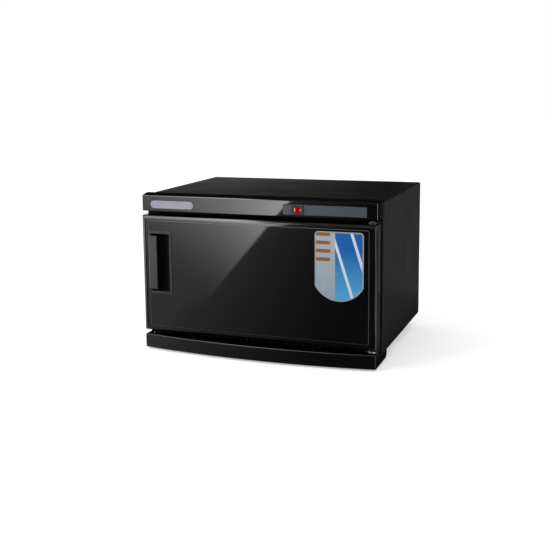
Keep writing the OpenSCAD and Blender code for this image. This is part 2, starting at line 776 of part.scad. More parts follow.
// Leg on the frame, shelf with a round end about the pin; the shelf's lower face is at z, up is +1 or -1
module hinge_bracket(z, up) color(steel) in_case() difference() {
    union() {
        translate([0, 0, z + (up < 0 ? -bracket_t : 0)]) linear_extrude(bracket_t) {
            translate([hinge_x, hinge_y]) circle(d = bracket_w);
            rect([hinge_x - bracket_w / 2, hinge_y], [hinge_x + bracket_w / 2, 0]);
        }
        block([hinge_x - bracket_w / 2, -bracket_t, up > 0 ? z + bracket_t - bracket_leg : z - bracket_t],
              [hinge_x + bracket_w / 2, 0, up > 0 ? z + bracket_t : z - bracket_t + bracket_leg]);
    }
    translate([hinge_x, hinge_y, z - 2 * bracket_t]) cylinder(h = 4 * bracket_t, d = pin_d + 2 * pin_clear);
    for (p = up > 0 ? hinge_screws_up : hinge_screws_low) {
        along_y([p.x, -bracket_t - eps, p.y]) cylinder(h = 2 * bracket_t, r = screw_hole_r);
        along_y([p.x, -bracket_t, p.y]) cylinder(h = bracket_t, d1 = head_d + fit, d2 = screw_d + fit);
    }
}
module upper_hinge_bracket() hinge_bracket(upper_z, 1);
module lower_hinge_bracket() hinge_bracket(lower_z, -1);

// Pin with a head on the far side of the bracket's shelf and a rounded tip
module hinge_pin() color(chrome) rotate_extrude() polygon(rounded([
    [0, bracket_t + pin_head_t, 0], [pin_d / 2 + pin_rim, bracket_t + pin_head_t, pin_head_r],
    [pin_d / 2 + pin_rim, bracket_t, 0], [pin_d / 2, bracket_t, 0],
    [pin_d / 2, -collar_t - run_gap - pin_reach, pin_tip_r], [0, -collar_t - run_gap - pin_reach, 0]]));
module upper_hinge_pin() in_case() translate([hinge_x, hinge_y, upper_z]) hinge_pin();
module lower_hinge_pin() in_case() translate([hinge_x, hinge_y, lower_z]) mirror([0, 0, 1]) hinge_pin();

module hinge_screws() color(steel) in_case()
    for (p = hinge_screws_at) translate([p.x, -bracket_t, p.y]) rotate([90, 0, 0]) flat_screw(boss_l);

module magnet_catch() color(trim_black) in_case()
    block([-border_x - catch_w / 2, catch_y, catch_z - catch_h / 2],
          [-border_x + catch_w / 2, catch_t, catch_z + catch_h / 2]);

// Switch body behind the frame with a nose through it, and the plunger that the door presses
module door_switch() color(white) in_case() difference() {
    union() {
        block([-border_x - nose_d / 2, frame_wall, plunger_z - nose_d],
              [-border_x + nose_d / 2, switch_back, plunger_z + nose_d]);
        along_y([-border_x, -fit, plunger_z]) cylinder(h = frame_wall + 2 * fit, d = nose_d);
    }
    along_y([-border_x, -1, plunger_z]) cylinder(h = switch_back, d = plunger_d + 2 * pin_clear);
}
module door_switch_plunger() color(white) in_case() along_y([-border_x, door_back + run_gap, plunger_z])
    rotate_extrude() polygon(rounded([
        [0, 0, 0], [plunger_d / 2, 0, plunger_d / 4], [plunger_d / 2, plunger_l, 0], [0, plunger_l, 0]]));

// Door

// The door's profile between the edges a and b with a bevel of width w, inset by i, its back drawn out
function door_profile(a, b, w, i, back) = let (r = max(edge_r - i, 0)) rounded([
    [a + i, door_skirt + back, 0], [a + i, bevel_y + bevel_d + i, r], [a + w, bevel_y + i, bevel_r],
    [b - w, bevel_y + i, bevel_r], [b - i, bevel_y + bevel_d + i, r], [b - i, door_skirt + back, 0]], 6);

module door_form(i, back) intersection() {
    translate([0, 0, door_z]) linear_extrude(door_h)
        polygon(door_profile(-door_x, door_x, bevel_side, i, back));
    plate_x(-door_x, 2 * door_x)
        polygon([for (p = door_profile(door_z, door_top, bevel_end, i, back)) [p.y, p.x]]);
}

module door_front() color(gloss_black) in_case() difference() {
    union() {
        difference() {
            door_form(0, 0);
            door_form(door_wall, 1);
        }
        plate_y(door_y, field_d + door_wall / 2) translate([0, door_middle])
            round_rect(2 * (door_x - bevel_side), door_h - 2 * bevel_end, field_r);
        intersection() {
            door_form(door_wall / 2, 0);
            union() {
                for (z = [[door_top - bush_l, door_top], [door_z, door_z + bush_l]])
                    block([hinge_x - hinge_boss_x, hinge_y - hinge_boss_y, z[0]], [door_x, door_mid, z[1]]);
                for (p = door_screws_at) along_y([p.x, door_y, p.y]) cylinder(h = door_t, d = boss_d);
            }
        }
    }
    translate([hinge_x, hinge_y, door_top - bush_l]) cylinder(h = bush_l + 1, r = bush_r + fit / 2);
    translate([hinge_x, hinge_y, door_z - 1]) cylinder(h = bush_l + 1, r = bush_r + fit / 2);
    holes_y(door_screws_at, door_mid - boss_l, boss_l + 1);
    plate_y(door_y - 1, door_t) translate([handle_x, handle_z])
        round_rect(pocket_w + 2 * (pocket_wall + fit), pocket_h + 2 * (pocket_wall + fit), rim_r);
}

// Rim and pocket in one moulding, with a grip that overhangs the pocket from its left side
module door_handle() color(trim_black) in_case() translate([handle_x, 0, handle_z]) {
    difference() {
        union() {
            plate_y(door_y - rim_proud, rim_proud) round_rect(handle_w, handle_h, rim_r);
            plate_y(door_y - eps, pocket_d + pocket_wall + eps)
                round_rect(pocket_w + 2 * pocket_wall, pocket_h + 2 * pocket_wall, rim_r);
        }
        plate_y(door_y - rim_proud - 1, pocket_d + rim_proud + 1) round_rect(pocket_w, pocket_h, pocket_r);
    }
    translate([-handle_w / 2, door_y, -grip_h / 2]) linear_extrude(grip_h) polygon(rounded([
        [grip_root, -rim_proud / 2, 0], [2 * grip_root, -grip_proud, grip_back_r],
        [grip_w, -grip_proud, grip_edge_r], [grip_w, grip_t - grip_proud, grip_edge_r],
        [rim_w + 2 * grip_root, grip_t - grip_proud, 0], [rim_w + grip_root, grip_root_d, 0],
        [rim_w - grip_root, grip_root_d, 0], [rim_w - grip_root, -rim_proud / 2, 0]]));
}

module panel_outline(i) translate([0, door_middle]) round_rect(2 * (door_x - i), door_h - 2 * i, inner_r);
module gasket_outline(g) chamber_outline(gasket_out + g);

module door_inner_panel() color(white) in_case() difference() {
    union() {
        difference() {
            union() {
                plate_y(door_mid, inner_t) panel_outline(inner_in);
                plate_y(door_back - eps, field_t + eps) gasket_outline(-gasket_w / 2 - field_gap);
            }
            plate_y(door_mid - 1, inner_t - inner_wall + 1) panel_outline(inner_in + inner_wall);
            plate_y(door_mid - 1, inner_t - inner_wall + field_t + 1)
                gasket_outline(-gasket_w / 2 - field_gap - inner_wall);
        }
        for (p = door_screws_at) along_y([p.x, door_mid, p.y]) cylinder(h = inner_t - eps, d = boss_d);
    }
    plate_y(door_back - groove_d, groove_d + 1) difference() {
        gasket_outline(gasket_w / 2 + fit / 2);
        gasket_outline(-gasket_w / 2 - fit / 2);
    }
    holes_y(door_screws_at, door_mid - 1, inner_t + 2);
    for (p = door_screws_at) along_y([p.x, door_back - bracket_t, p.y])
        cylinder(h = bracket_t + eps, d1 = screw_d + fit, d2 = head_d + fit);
}

module door_insulation() color(wool) in_case() difference() {
    block([-foam_x, bevel_y + door_wall + foam_gap, door_z + foam_in],
          [foam_x, door_mid - foam_gap, door_top - foam_in]);
    block([-door_x, door_y, handle_z - handle_h / 2 - foam_gap],
          [handle_x + handle_w / 2 + foam_gap, door_mid, handle_z + handle_h / 2 + foam_gap]);
}

// Ring of the gasket's section: straight stretches joined by turned corners
module ring_sweep(w, h, r) {
    for (s = [-1, 1]) {
        rotate(s > 0 ? 0 : 180) translate([w / 2, 0, 0]) rotate([90, 0, 0])
            translate([0, 0, -h / 2 + r]) linear_extrude(h - 2 * r) children();
        rotate(s * 90) translate([h / 2, 0, 0]) rotate([90, 0, 0])
            translate([0, 0, -w / 2 + r]) linear_extrude(w - 2 * r) children();
    }
    for (k = [0 : 3]) let (sx = k == 0 || k == 3 ? 1 : -1, sy = k < 2 ? 1 : -1)
        translate([sx * (w / 2 - r), sy * (h / 2 - r), 0]) rotate(k * 90)
            rotate_extrude(angle = 90) translate([r, 0]) children();
}

module door_gasket() color(rubber_black) in_case()
    translate([0, door_back - groove_d, chamber_z + chamber_h / 2]) rotate([-90, 0, 0])
        ring_sweep(chamber_w + 2 * gasket_out, chamber_h + 2 * gasket_out, chamber_r + gasket_out) {
            rect([-gasket_w / 2, 0], [gasket_w / 2, groove_d]);
            rect([-bulb_r, 0], [bulb_r, gasket_h - bulb_r]);
            translate([0, gasket_h - bulb_r]) circle(bulb_r);
        }

module door_screws() color(steel) in_case()
    for (p = door_screws_at) along_y([p.x, door_back, p.y]) flat_screw(inner_t + boss_l - 1);

// Bush with a collar on the door's edge
module hinge_bush() color(trim_black) difference() {
    union() {
        translate([0, 0, -bush_l + 1]) cylinder(h = bush_l, r = bush_r);
        cylinder(h = collar_t, r = bush_r + collar_rim);
    }
    translate([0, 0, -bush_l]) cylinder(h = bush_l + 2 * collar_t, d = pin_d + 2 * pin_clear);
}
module upper_hinge_bush() in_case() translate([hinge_x, hinge_y, door_top]) hinge_bush();
module lower_hinge_bush() in_case() translate([hinge_x, hinge_y, door_z]) mirror([0, 0, 1]) hinge_bush();

module strike_plate() color(steel) in_case()
    block([-border_x - catch_w / 2, door_back, catch_z - catch_h / 2],
          [-border_x + catch_w / 2, door_back + strike_t, catch_z + catch_h / 2]);

// Drip tray: its front follows an arc through the two ends and the bow

module tray_outline(i) intersection() {
    translate([0, tray_arc_r - tray_reach - tray_bow]) circle(tray_arc_r - i, $fn = 480);
    rect([-tray_x + i, -tray_reach - tray_bow], [tray_x - i, tray_back - i]);
}
module tray_side_outline(i, top) polygon(rounded([
    [-tray_reach - tray_bow - 1, tray_z + i, 0], [tray_back - i, tray_z + i, tray_r - i],
    [tray_back - i, top, 0], [-tray_reach - tray_bow - 1, top, 0]]));

module drip_tray() color(gloss_black) in_case() union() {
    difference() {
        intersection() {
            translate([0, 0, tray_z]) linear_extrude(tray_lip - tray_z) tray_outline(0);
            plate_x(-tray_x, 2 * tray_x) tray_side_outline(0, tray_lip);
        }
        intersection() {
            translate([0, 0, tray_z]) linear_extrude(tray_lip - tray_z + 1) tray_outline(tray_wall);
            plate_x(-tray_x, 2 * tray_x) tray_side_outline(tray_wall, tray_lip + 1);
        }
        block([-tray_x - 1, -tray_step, -tray_under], [tray_x + 1, tray_back + 1, tray_lip + 1]);
        block([-tray_x + tray_wall, 0, rail_low - sheet - run_gap], [tray_x - tray_wall, tray_back + 1, 0]);
    }
    for (s = [-1, 1])
        translate([s * (tray_x - tray_wall / 2 - runner_w / 2), 0, 0])
            block([-runner_w / 2 - tray_wall / 2, runner_y, runner_top - runner_t],
                  [runner_w / 2 + tray_wall / 2, tray_back - tray_wall, runner_top]);
}

// Z-shaped rail below the base panel that carries a runner of the tray
module tray_rail(s) color(steel) in_case() mirror([s < 0 ? 1 : 0, 0, 0]) difference() {
    plate_y(runner_y, rail_l) union() {
        rect([rail_web_x - rail_top_w, 0], [rail_web_x, sheet]);
        rect([rail_web_x - sheet, rail_low - sheet], [rail_web_x, sheet]);
        rect([rail_web_x - sheet, rail_low - sheet], [rail_web_x + runner_w - run_gap, rail_low]);
    }
    holes_z(tray_screws_at, -sheet, 3 * sheet);
}
module tray_rail_left() tray_rail(-1);
module tray_rail_right() tray_rail(1);

module tray_rail_screws() color(steel) in_case()
    for (p = tray_screws_at) translate([p.x, p.y, 0]) mirror([0, 0, 1]) pan_screw(2 * sheet);

// Chamber, rack and lamp

module chamber_liner() color(alloy) in_case() difference() {
    union() {
        plate_y(frame_t, chamber_d + liner_t) chamber_outline(liner_t);
        plate_y(frame_t, liner_t) chamber_outline(liner_flange);
    }
    plate_y(frame_t - 1, chamber_d + 1) chamber_outline(0);
}

module rack_rail(s) color(alloy) in_case() mirror([s < 0 ? 1 : 0, 0, 0])
    plate_y(frame_t + rack_end / 2, chamber_d - rack_end) union() {
        rect([chamber_w / 2 - rail_t, rack_z - rail_leg], [chamber_w / 2, rack_z]);
        rect([chamber_w / 2 - rail_leg, rack_z - rail_t], [chamber_w / 2, rack_z]);
    }
module rack_rail_left() rack_rail(-1);
module rack_rail_right() rack_rail(1);

// Wire rack: a round-cornered frame with a middle wire, and bars welded on it from front to back
module towel_rack() color(chrome) in_case() {
    w = chamber_w - 2 * rack_side - rack_wire;
    d = chamber_d - 2 * rack_end - rack_wire;
    translate([0, frame_t + chamber_d / 2, rack_z + rack_wire / 2]) {
        ring_sweep(w, d, rack_r) circle(d = rack_wire);
        along_x([-w / 2, 0, 0]) cylinder(h = w, d = rack_wire);
        for (k = [1 : rack_n])
            along_y([-w / 2 + k * w / (rack_n + 1), -d / 2 - bar_over, (rack_wire + rack_bar) / 2 - weld])
                cylinder(h = d + 2 * bar_over, d = rack_bar);
    }
}

module lamp_tube() color(glass_blue, 0.6) in_case() along_x([-lamp_l / 2 + cap_l / 2, lamp_y, lamp_z])
    difference() {
        cylinder(h = lamp_l - cap_l, d = lamp_d);
        translate([0, 0, -1]) cylinder(h = lamp_l - cap_l + 2, d = lamp_d - 2 * lamp_wall);
    }

module lamp_caps() color(alloy) in_case() for (s = [0, 1])
    translate([0, lamp_y, lamp_z]) mirror([s, 0, 0]) translate([lamp_l / 2, 0, 0]) rotate([0, 90, 0]) {
        difference() {
            translate([0, 0, -cap_l]) cylinder(h = cap_l, d = lamp_d + 2 * cap_rim);
            translate([0, 0, -cap_l - 1]) cylinder(h = cap_l / 2 + 1, d = lamp_d + fit / 2);
        }
        for (k = [-1, 1]) translate([0, k * lamp_pin_gap / 2, -eps]) cylinder(h = lamp_pin_l, d = lamp_pin_d);
    }

// Holder on the rear wall with a round front about the lamp's axis and sockets for the cap's pins
module lamp_holder(s) color(white) in_case() mirror([s < 0 ? 1 : 0, 0, 0]) difference() {
    union() {
        along_x([lamp_l / 2 + fit, lamp_y, lamp_z]) cylinder(h = holder_t, d = lamp_d + 2 * holder_rim);
        translate([lamp_l / 2 + fit, lamp_y, lamp_z])
            block([0, 0, -lamp_d / 2 - holder_rim], [holder_t, lamp_in, lamp_d / 2 + holder_rim]);
    }
    for (k = [-1, 1])
        along_x([lamp_l / 2, lamp_y + k * lamp_pin_gap / 2, lamp_z])
            cylinder(h = lamp_pin_l + 1, d = lamp_pin_d + fit);
}
module lamp_holder_left() lamp_holder(-1);
module lamp_holder_right() lamp_holder(1);

// Slotted sheet across the chamber's upper rear corner, with flanges on the ceiling and the rear wall
module lamp_guard() color(chrome) in_case() difference() {
    plate_x(-guard_l / 2, guard_l) polygon([
        [chamber_back - guard_leg - guard_flange, chamber_top], [chamber_back - guard_leg, chamber_top],
        [chamber_back, chamber_top - guard_leg], [chamber_back, chamber_top - guard_leg - guard_flange],
        [chamber_back - guard_t, chamber_top - guard_leg - guard_flange],
        [chamber_back - guard_t, chamber_top - guard_leg - guard_turn],
        [chamber_back - guard_leg - guard_turn, chamber_top - guard_t],
        [chamber_back - guard_leg - guard_flange, chamber_top - guard_t]]);
    translate([0, chamber_back - guard_leg / 2, chamber_top - guard_leg / 2]) rotate([45, 0, 0])
        for (i = [0 : guard_slot_n - 1], k = [0 : guard_row_n - 1])
            translate([(i - (guard_slot_n - 1) / 2) * guard_slot_pitch, 0,
                       (k - (guard_row_n - 1) / 2) * guard_row_pitch])
                plate_y(-3 * guard_t, 6 * guard_t) capsule(guard_slot_l, guard_slot_w);
}

// Heating, insulation and electrics

// Serpentine of round wire under the chamber's floor
module heating_wire() color(rubber_black) in_case()
    translate([0, frame_t + chamber_d / 2 - (wire_n - 1) * wire_pitch / 2, chamber_z - liner_t - wire_d / 2])
        for (k = [0 : wire_n - 1]) {
            along_x([-wire_run / 2, k * wire_pitch, 0]) cylinder(h = wire_run, d = wire_d);
            if (k < wire_n - 1)
                translate([(k % 2 == 0 ? 1 : -1) * wire_run / 2, (k + 0.5) * wire_pitch, 0])
                    rotate(k % 2 == 0 ? -90 : 90)
                        rotate_extrude(angle = 180) translate([wire_pitch / 2, 0]) circle(d = wire_d);
        }

module thermostat() color(white) in_case() along_y([thermostat_x, sensor_y, door_middle]) {
    linear_extrude(liner_t) round_rect(thermostat_l, thermostat_w, inner_r);
    cylinder(h = thermostat_h, d = thermostat_d);
    cylinder(h = thermostat_cap_h, d = thermostat_cap_d);
    for (s = [-1, 1]) translate([s * blade_gap / 2, 0, thermostat_cap_h])
        block([-blade_t / 2, -blade_w / 2, -eps], [blade_t / 2, blade_w / 2, blade_l]);
}

module thermal_fuse() color(alloy) in_case() {
    along_x([fuse_x - fuse_l / 2, sensor_y + fuse_d / 2, door_middle]) cylinder(h = fuse_l, d = fuse_d);
    block([fuse_x - saddle_l / 2, sensor_y, door_middle - saddle_h / 2],
          [fuse_x + saddle_l / 2, sensor_y + fuse_d / 2, door_middle + saddle_h / 2]);
}

module insulation_jacket() color(wool) in_case() difference() {
    block([-frame_x + insulation_gap, frame_t + liner_t + insulation_gap, base_space],
          [frame_x - insulation_gap, rear_y - sheet - insulation_gap, shelf_z - fit]);
    block([-chamber_w / 2 - liner_t - foam_gap, 0, chamber_z - liner_t - wire_d - foam_gap],
          [chamber_w / 2 + liner_t + foam_gap, sensor_y + foam_gap, chamber_top + liner_t + foam_gap]);
    block([thermostat_x - thermostat_l / 2 - foam_gap, sensor_y, door_middle - sensor_room],
          [fuse_x + fuse_l / 2 + foam_gap, case_d, door_middle + sensor_room]);
}

module electrics_shelf() color(steel) in_case() {
    y1 = rear_y - sheet - insulation_gap;
    block([-shelf_x, tab_reach + foam_gap, shelf_z], [shelf_x, y1, shelf_z + sheet]);
    block([-shelf_x, y1 - sheet, shelf_z], [shelf_x, y1, shelf_z + shelf_lip]);
}

module lamp_ballast() color(white) in_case() translate([ballast_x, ballast_y, shelf_z + sheet]) difference() {
    union() {
        block([-ballast_l / 2, -ballast_w / 2, 0], [ballast_l / 2, ballast_w / 2, ballast_h]);
        block([-ballast_l / 2 - ballast_lug, -ballast_w / 2, 0],
              [ballast_l / 2 + ballast_lug, ballast_w / 2, ballast_lug_t]);
    }
    holes_z([for (s = [-1, 1]) [s * (ballast_l + ballast_lug) / 2, 0]], -1, 2 * ballast_lug_t);
}

module terminal_block() color(white) in_case() translate([terminal_x, terminal_y, shelf_z + sheet])
    difference() {
        block([-terminal_l / 2, -terminal_w / 2, 0], [terminal_l / 2, terminal_w / 2, terminal_h]);
        for (k = [0 : pole_n - 1], s = [-1, 1])
            translate([(k - (pole_n - 1) / 2) * pole_pitch, s * terminal_w / 4, terminal_h - pole_depth])
                cylinder(h = pole_depth + 1, d = pole_d);
    }

outer_case();
base_panel();
base_screws();
rear_panel();
rear_screws();
cord_inlet();
foot_front_left();
foot_front_right();
foot_rear_left();
foot_rear_right();
foot_screws();
top_fascia();
fascia_screws();
badge_plate();
control_inlay();
switch_housing();
switch_rocker();
front_frame();
upper_hinge_bracket();
lower_hinge_bracket();
upper_hinge_pin();
lower_hinge_pin();
hinge_screws();
magnet_catch();
door_switch();
door_switch_plunger();
door_front();
door_handle();
door_inner_panel();
door_insulation();
door_gasket();
door_screws();
upper_hinge_bush();
lower_hinge_bush();
strike_plate();
drip_tray();
tray_rail_left();
tray_rail_right();
tray_rail_screws();
chamber_liner();
rack_rail_left();
rack_rail_right();
towel_rack();
lamp_tube();
lamp_caps();
lamp_holder_left();
lamp_holder_right();
lamp_guard();
heating_wire();
thermostat();
thermal_fuse();
insulation_jacket();
electrics_shelf();
lamp_ballast();
terminal_block();
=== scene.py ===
"""Looks of a countertop hot-towel cabinet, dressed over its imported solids.

Lengths in the classes are millimetres in the case's own frame: x to the right, y to the rear from the
front edge of the case, z up from its underside. placed() turns them to metres in the part's frame.
"""

import logging
import math
from collections.abc import Callable, Iterator
from contextlib import contextmanager
from dataclasses import dataclass
from enum import Enum
from typing import Any

import bmesh
import bpy
import numpy as np
from mathutils import Matrix, Vector


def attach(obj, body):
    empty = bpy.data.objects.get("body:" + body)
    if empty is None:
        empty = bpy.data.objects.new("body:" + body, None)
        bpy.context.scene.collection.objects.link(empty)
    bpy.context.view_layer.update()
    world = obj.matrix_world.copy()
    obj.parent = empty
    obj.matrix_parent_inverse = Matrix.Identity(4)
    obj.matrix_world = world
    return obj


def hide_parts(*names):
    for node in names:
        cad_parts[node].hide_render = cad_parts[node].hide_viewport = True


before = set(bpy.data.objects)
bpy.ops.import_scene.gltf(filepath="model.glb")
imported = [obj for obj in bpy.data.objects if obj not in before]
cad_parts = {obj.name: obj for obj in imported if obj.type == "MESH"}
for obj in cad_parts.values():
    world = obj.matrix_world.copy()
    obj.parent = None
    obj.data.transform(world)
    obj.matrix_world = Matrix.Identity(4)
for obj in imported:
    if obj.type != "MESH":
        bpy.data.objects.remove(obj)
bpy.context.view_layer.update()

log = logging.getLogger("towel_cabinet")

Array = np.ndarray
Object, Node, Tree = bpy.types.Object, bpy.types.Node, bpy.types.NodeTree
Pair, Triple = tuple[float, float], tuple[float, float, float]
Surface = tuple[Array, Array]

MM = 0.001
CASE_ORIGIN = np.array([0.0, -103.5, 18.0])
PHOTO_SIDE = 550.0
# Edges flatter than the second angle are taken out, and those past the first stay sharp or are rounded.
SHARP_ANGLE = math.radians(32.0)
FLAT_ANGLE = math.radians(0.4)
# Points closer than this are one, in new pieces and in copies of the solids.
MERGE_M = 1e-7
SOLID_MERGE_M = 2e-6
# Angles along a round corner and along a wire's rounded end.
CORNER_TURN = np.linspace(0.0, math.pi / 2, 9)
END_TURN = np.linspace(0.0, math.pi / 2, 4)
# Height of a capital letter in a font of size 1.
CAPITAL = 0.69
# Where most values of the noise lie, which take up the whole span of a finish's roughness.
DRIFT_SPAN = (0.3, 0.7)


class Body(Enum):
    """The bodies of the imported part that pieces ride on."""

    CABINET = "cabinet"
    DOOR = "door"
    ROCKER = "rocker"
    TRAY = "tray"


class Slot(Enum):
    """The record's material slots, passed beside each new piece's finish."""

    CASE_PAINT = "case_paint"
    PLATED_STEEL = "plated_steel"
    GLOSS_BLACK = "gloss_black"
    BLACK_PLASTIC = "black_plastic"
    WHITE_PLASTIC = "white_plastic"
    INLAY_FILM = "inlay_film"
    RED_PLASTIC = "red_plastic"
    CHROME = "chrome"


def linear(colour: str) -> tuple[float, float, float, float]:
    """Turns an sRGB hex colour to linear light.

    Args:
        colour: Six hex digits after a hash sign.

    Returns:
        Red, green, blue and an alpha of 1.
    """
    srgb = np.array([int(colour[i:i + 2], 16) for i in (1, 3, 5)]) / 255.0
    light = np.where(srgb <= 0.04045, srgb / 12.92, ((srgb + 0.055) / 1.055) ** 2.4)
    return (float(light[0]), float(light[1]), float(light[2]), 1.0)


def placed(points: Array) -> Array:
    """Moves points from the case's frame in mm to the part's frame in metres."""
    return (np.asarray(points, float) + CASE_ORIGIN) * MM


def in_case(points: Array) -> Array:
    """Moves points from the part's frame in metres to the case's frame in mm."""
    return points / MM - CASE_ORIGIN


def ramp(value: Array, start: float | Array, end: float | Array) -> Array:
    """Rises in a straight line from 0 at the start to 1 at the end, and stays level outside them."""
    return np.clip((value - start) / (end - start), 0.0, 1.0)


def linked(name: str, data: bpy.types.ID) -> Object:
    """Makes an object of its data and links it to the scene.

    Args:
        name: The object's name.
        data: Its mesh, text, lamp or camera.

    Returns:
        The new object.
    """
    made = bpy.data.objects.new(name, data)
    bpy.context.scene.collection.objects.link(made)
    return made


def rows_of(items: bpy.types.bpy_prop_collection, key: str) -> Array:
    """Reads a vector of each of a mesh's points or faces.

    Args:
        items: The points or faces.
        key: The vector's name.

    Returns:
        One row for each item.
    """
    flat = np.empty(len(items) * 3, np.float32)
    items.foreach_get(key, flat)
    return flat.reshape(-1, 3)


def move_points(mesh: bpy.types.Mesh, points: Array) -> None:
    """Moves a mesh's points to new places in metres."""
    mesh.vertices.foreach_set("co", points.astype(np.float32).ravel())
    mesh.update()


def feed(tree: Tree, node: Node, inputs: dict[Any, Any]) -> None:
    """Sets or links a node's input sockets.

    Args:
        tree: The node tree that holds the node.
        node: The node.
        inputs: Values, sockets or nodes for the input sockets, by name or number.
    """
    for key, value in inputs.items():
        if isinstance(value, Node):
            value = value.outputs[0]
        if isinstance(value, bpy.types.NodeSocket):
            tree.links.new(value, node.inputs[key])
        else:
            node.inputs[key].default_value = value


def add(tree: Tree, kind: str, inputs: dict[Any, Any] | None = None, **settings: Any) -> Node:
    """Adds one shader node with its settings and links.

    Args:
        tree: The node tree that takes the node.
        kind: Blender's name of the node type, without ShaderNode.
        inputs: Values, sockets or nodes for the input sockets, by name or number.
        settings: The node's own properties.

    Returns:
        The new node.
    """
    node = tree.nodes.new("ShaderNode" + kind)
    for name, value in settings.items():
        setattr(node, name, value)
    feed(tree, node, inputs or {})
    return node


def grid_faces(rows: int, cols: int, close_rows: bool = False, close_cols: bool = False) -> Array:
    """Gives the quads of a grid of points stored row by row.

    Args:
        rows: Number of rows.
        cols: Number of points in a row.
        close_rows: Whether the last row joins the first.
        close_cols: Whether the last point of a row joins its first.

    Returns:
        Four point numbers for each quad.
    """
    row = np.arange(rows if close_rows else rows - 1)[:, None]
    col = np.arange(cols if close_cols else cols - 1)[None, :]
    next_row, next_col = (row + 1) % rows, (col + 1) % cols
    corners = [row * cols + col, row * cols + next_col, next_row * cols + next_col, next_row * cols + col]
    return np.stack([np.broadcast_to(c, (row.size, col.size)) for c in corners], -1).reshape(-1, 4)


@contextmanager
def merged(mesh: bpy.types.Mesh, reach: float) -> Iterator[bmesh.types.BMesh]:
    """Opens a mesh for work with its close points merged, and writes it back afterwards.

    Args:
        mesh: The mesh.
        reach: Distance in metres below which points become one.

    Yields:
        The mesh in work.
    """
    work = bmesh.new()
    work.from_mesh(mesh)
    bmesh.ops.remove_doubles(work, verts=work.verts, dist=reach)
    yield work
    work.to_mesh(mesh)
    work.free()


def put_mesh(name: str, points: Array, quads: Array, values: dict[str, Array] | None = None,
             turn_out: bool = True) -> Object:
    """Puts a grid surface into a new object at the origin, with its seams and poles closed.

    Args:
        name: The piece's name.
        points: Points in metres in the part's frame.
        quads: Point numbers of the faces.
        values: Float attributes on the points, by name.
        turn_out: Whether the normals are worked out again from the closed shape.

    Returns:
        The new object, linked to the scene.
    """
    mesh = bpy.data.meshes.new(name)
    mesh.vertices.add(len(points))
    mesh.vertices.foreach_set("co", np.asarray(points, np.float32).ravel())
    mesh.loops.add(quads.size)
    mesh.loops.foreach_set("vertex_index", quads.astype(np.int32).ravel())
    mesh.polygons.add(len(quads))
    mesh.polygons.foreach_set("loop_start", np.arange(0, quads.size, 4, dtype=np.int32))
    mesh.update(calc_edges=True)
    for key, value in (values or {}).items():
        held = mesh.attributes.new(key, "FLOAT", "POINT")
        held.data.foreach_set("value", np.asarray(value, np.float32).ravel())
    with merged(mesh, MERGE_M) as work:
        bmesh.ops.dissolve_degenerate(work, edges=work.edges, dist=MERGE_M / 10)
        if turn_out:
            bmesh.ops.recalc_face_normals(work, faces=work.faces)
        shade(work)
    return linked(name, mesh)


def shade(work: bmesh.types.BMesh) -> None:
    """Smooths every face of a mesh and keeps its sharp edges sharp.

    Args:
        work: The mesh in work.
    """
    for face in work.faces:
        face.smooth = True
    for edge in work.edges:
        edge.smooth = edge.calc_face_angle(0.0) < SHARP_ANGLE


def tube(path: Array, radius: float, sides: int, closed: bool) -> Surface:
    """Carries a circle along a path that lies level.

    Each point of the path gets a ring of that radius, square to the path's direction there. An open
    path's ends are rounded by three smaller rings each, which follow a quarter circle to a pole.

    Args:
        path: Points in mm, one row each.
        radius: The circle's radius in mm.
        sides: Number of points round the circle.
        closed: Whether the path's last point joins its first.

    Returns:
        The points and the quads of the tube.
    """
    if closed:
        way = np.roll(path, -1, 0) - np.roll(path, 1, 0)
        size = np.full(len(path), radius)
    else:
        way = np.gradient(path, axis=0)
        first, last = way[0] / np.linalg.norm(way[0]), way[-1] / np.linalg.norm(way[-1])
        inset, ring_size = radius - radius * np.sin(END_TURN), radius * np.cos(END_TURN)
        head, tail = path[0] + inset[::-1, None] * first, path[-1] - inset[:, None] * last
        size = np.concatenate([ring_size[::-1], np.full(len(path) - 2, radius), ring_size])
        path = np.concatenate([head, path[1:-1], tail])
        rings = len(END_TURN)
        way = np.concatenate([np.repeat(way[:1], rings, 0), way[1:-1], np.repeat(way[-1:], rings, 0)])
    way = way / np.linalg.norm(way, axis=1)[:, None]
    side = np.cross(way, [0.0, 0.0, 1.0])
    side /= np.linalg.norm(side, axis=1)[:, None]
    rise = np.cross(side, way)
    angle = np.linspace(0.0, 2 * math.pi, sides, endpoint=False)
    ring = np.cos(angle)[None, :, None] * side[:, None] + np.sin(angle)[None, :, None] * rise[:, None]
    points = path[:, None] + size[:, None, None] * ring
    return points.reshape(-1, 3), grid_faces(len(path), sides, closed, True)


def gathered(parts: list[Surface]) -> Surface:
    """Joins several point and quad arrays to one pair.

    Args:
        parts: The points and the quads of each part.

    Returns:
        All points, and all quads with their point numbers moved on.
    """
    starts = np.cumsum([0] + [len(points) for points, _ in parts[:-1]])
    return (np.concatenate([points for points, _ in parts]),
            np.concatenate([quads + start for (_, quads), start in zip(parts, starts)]))


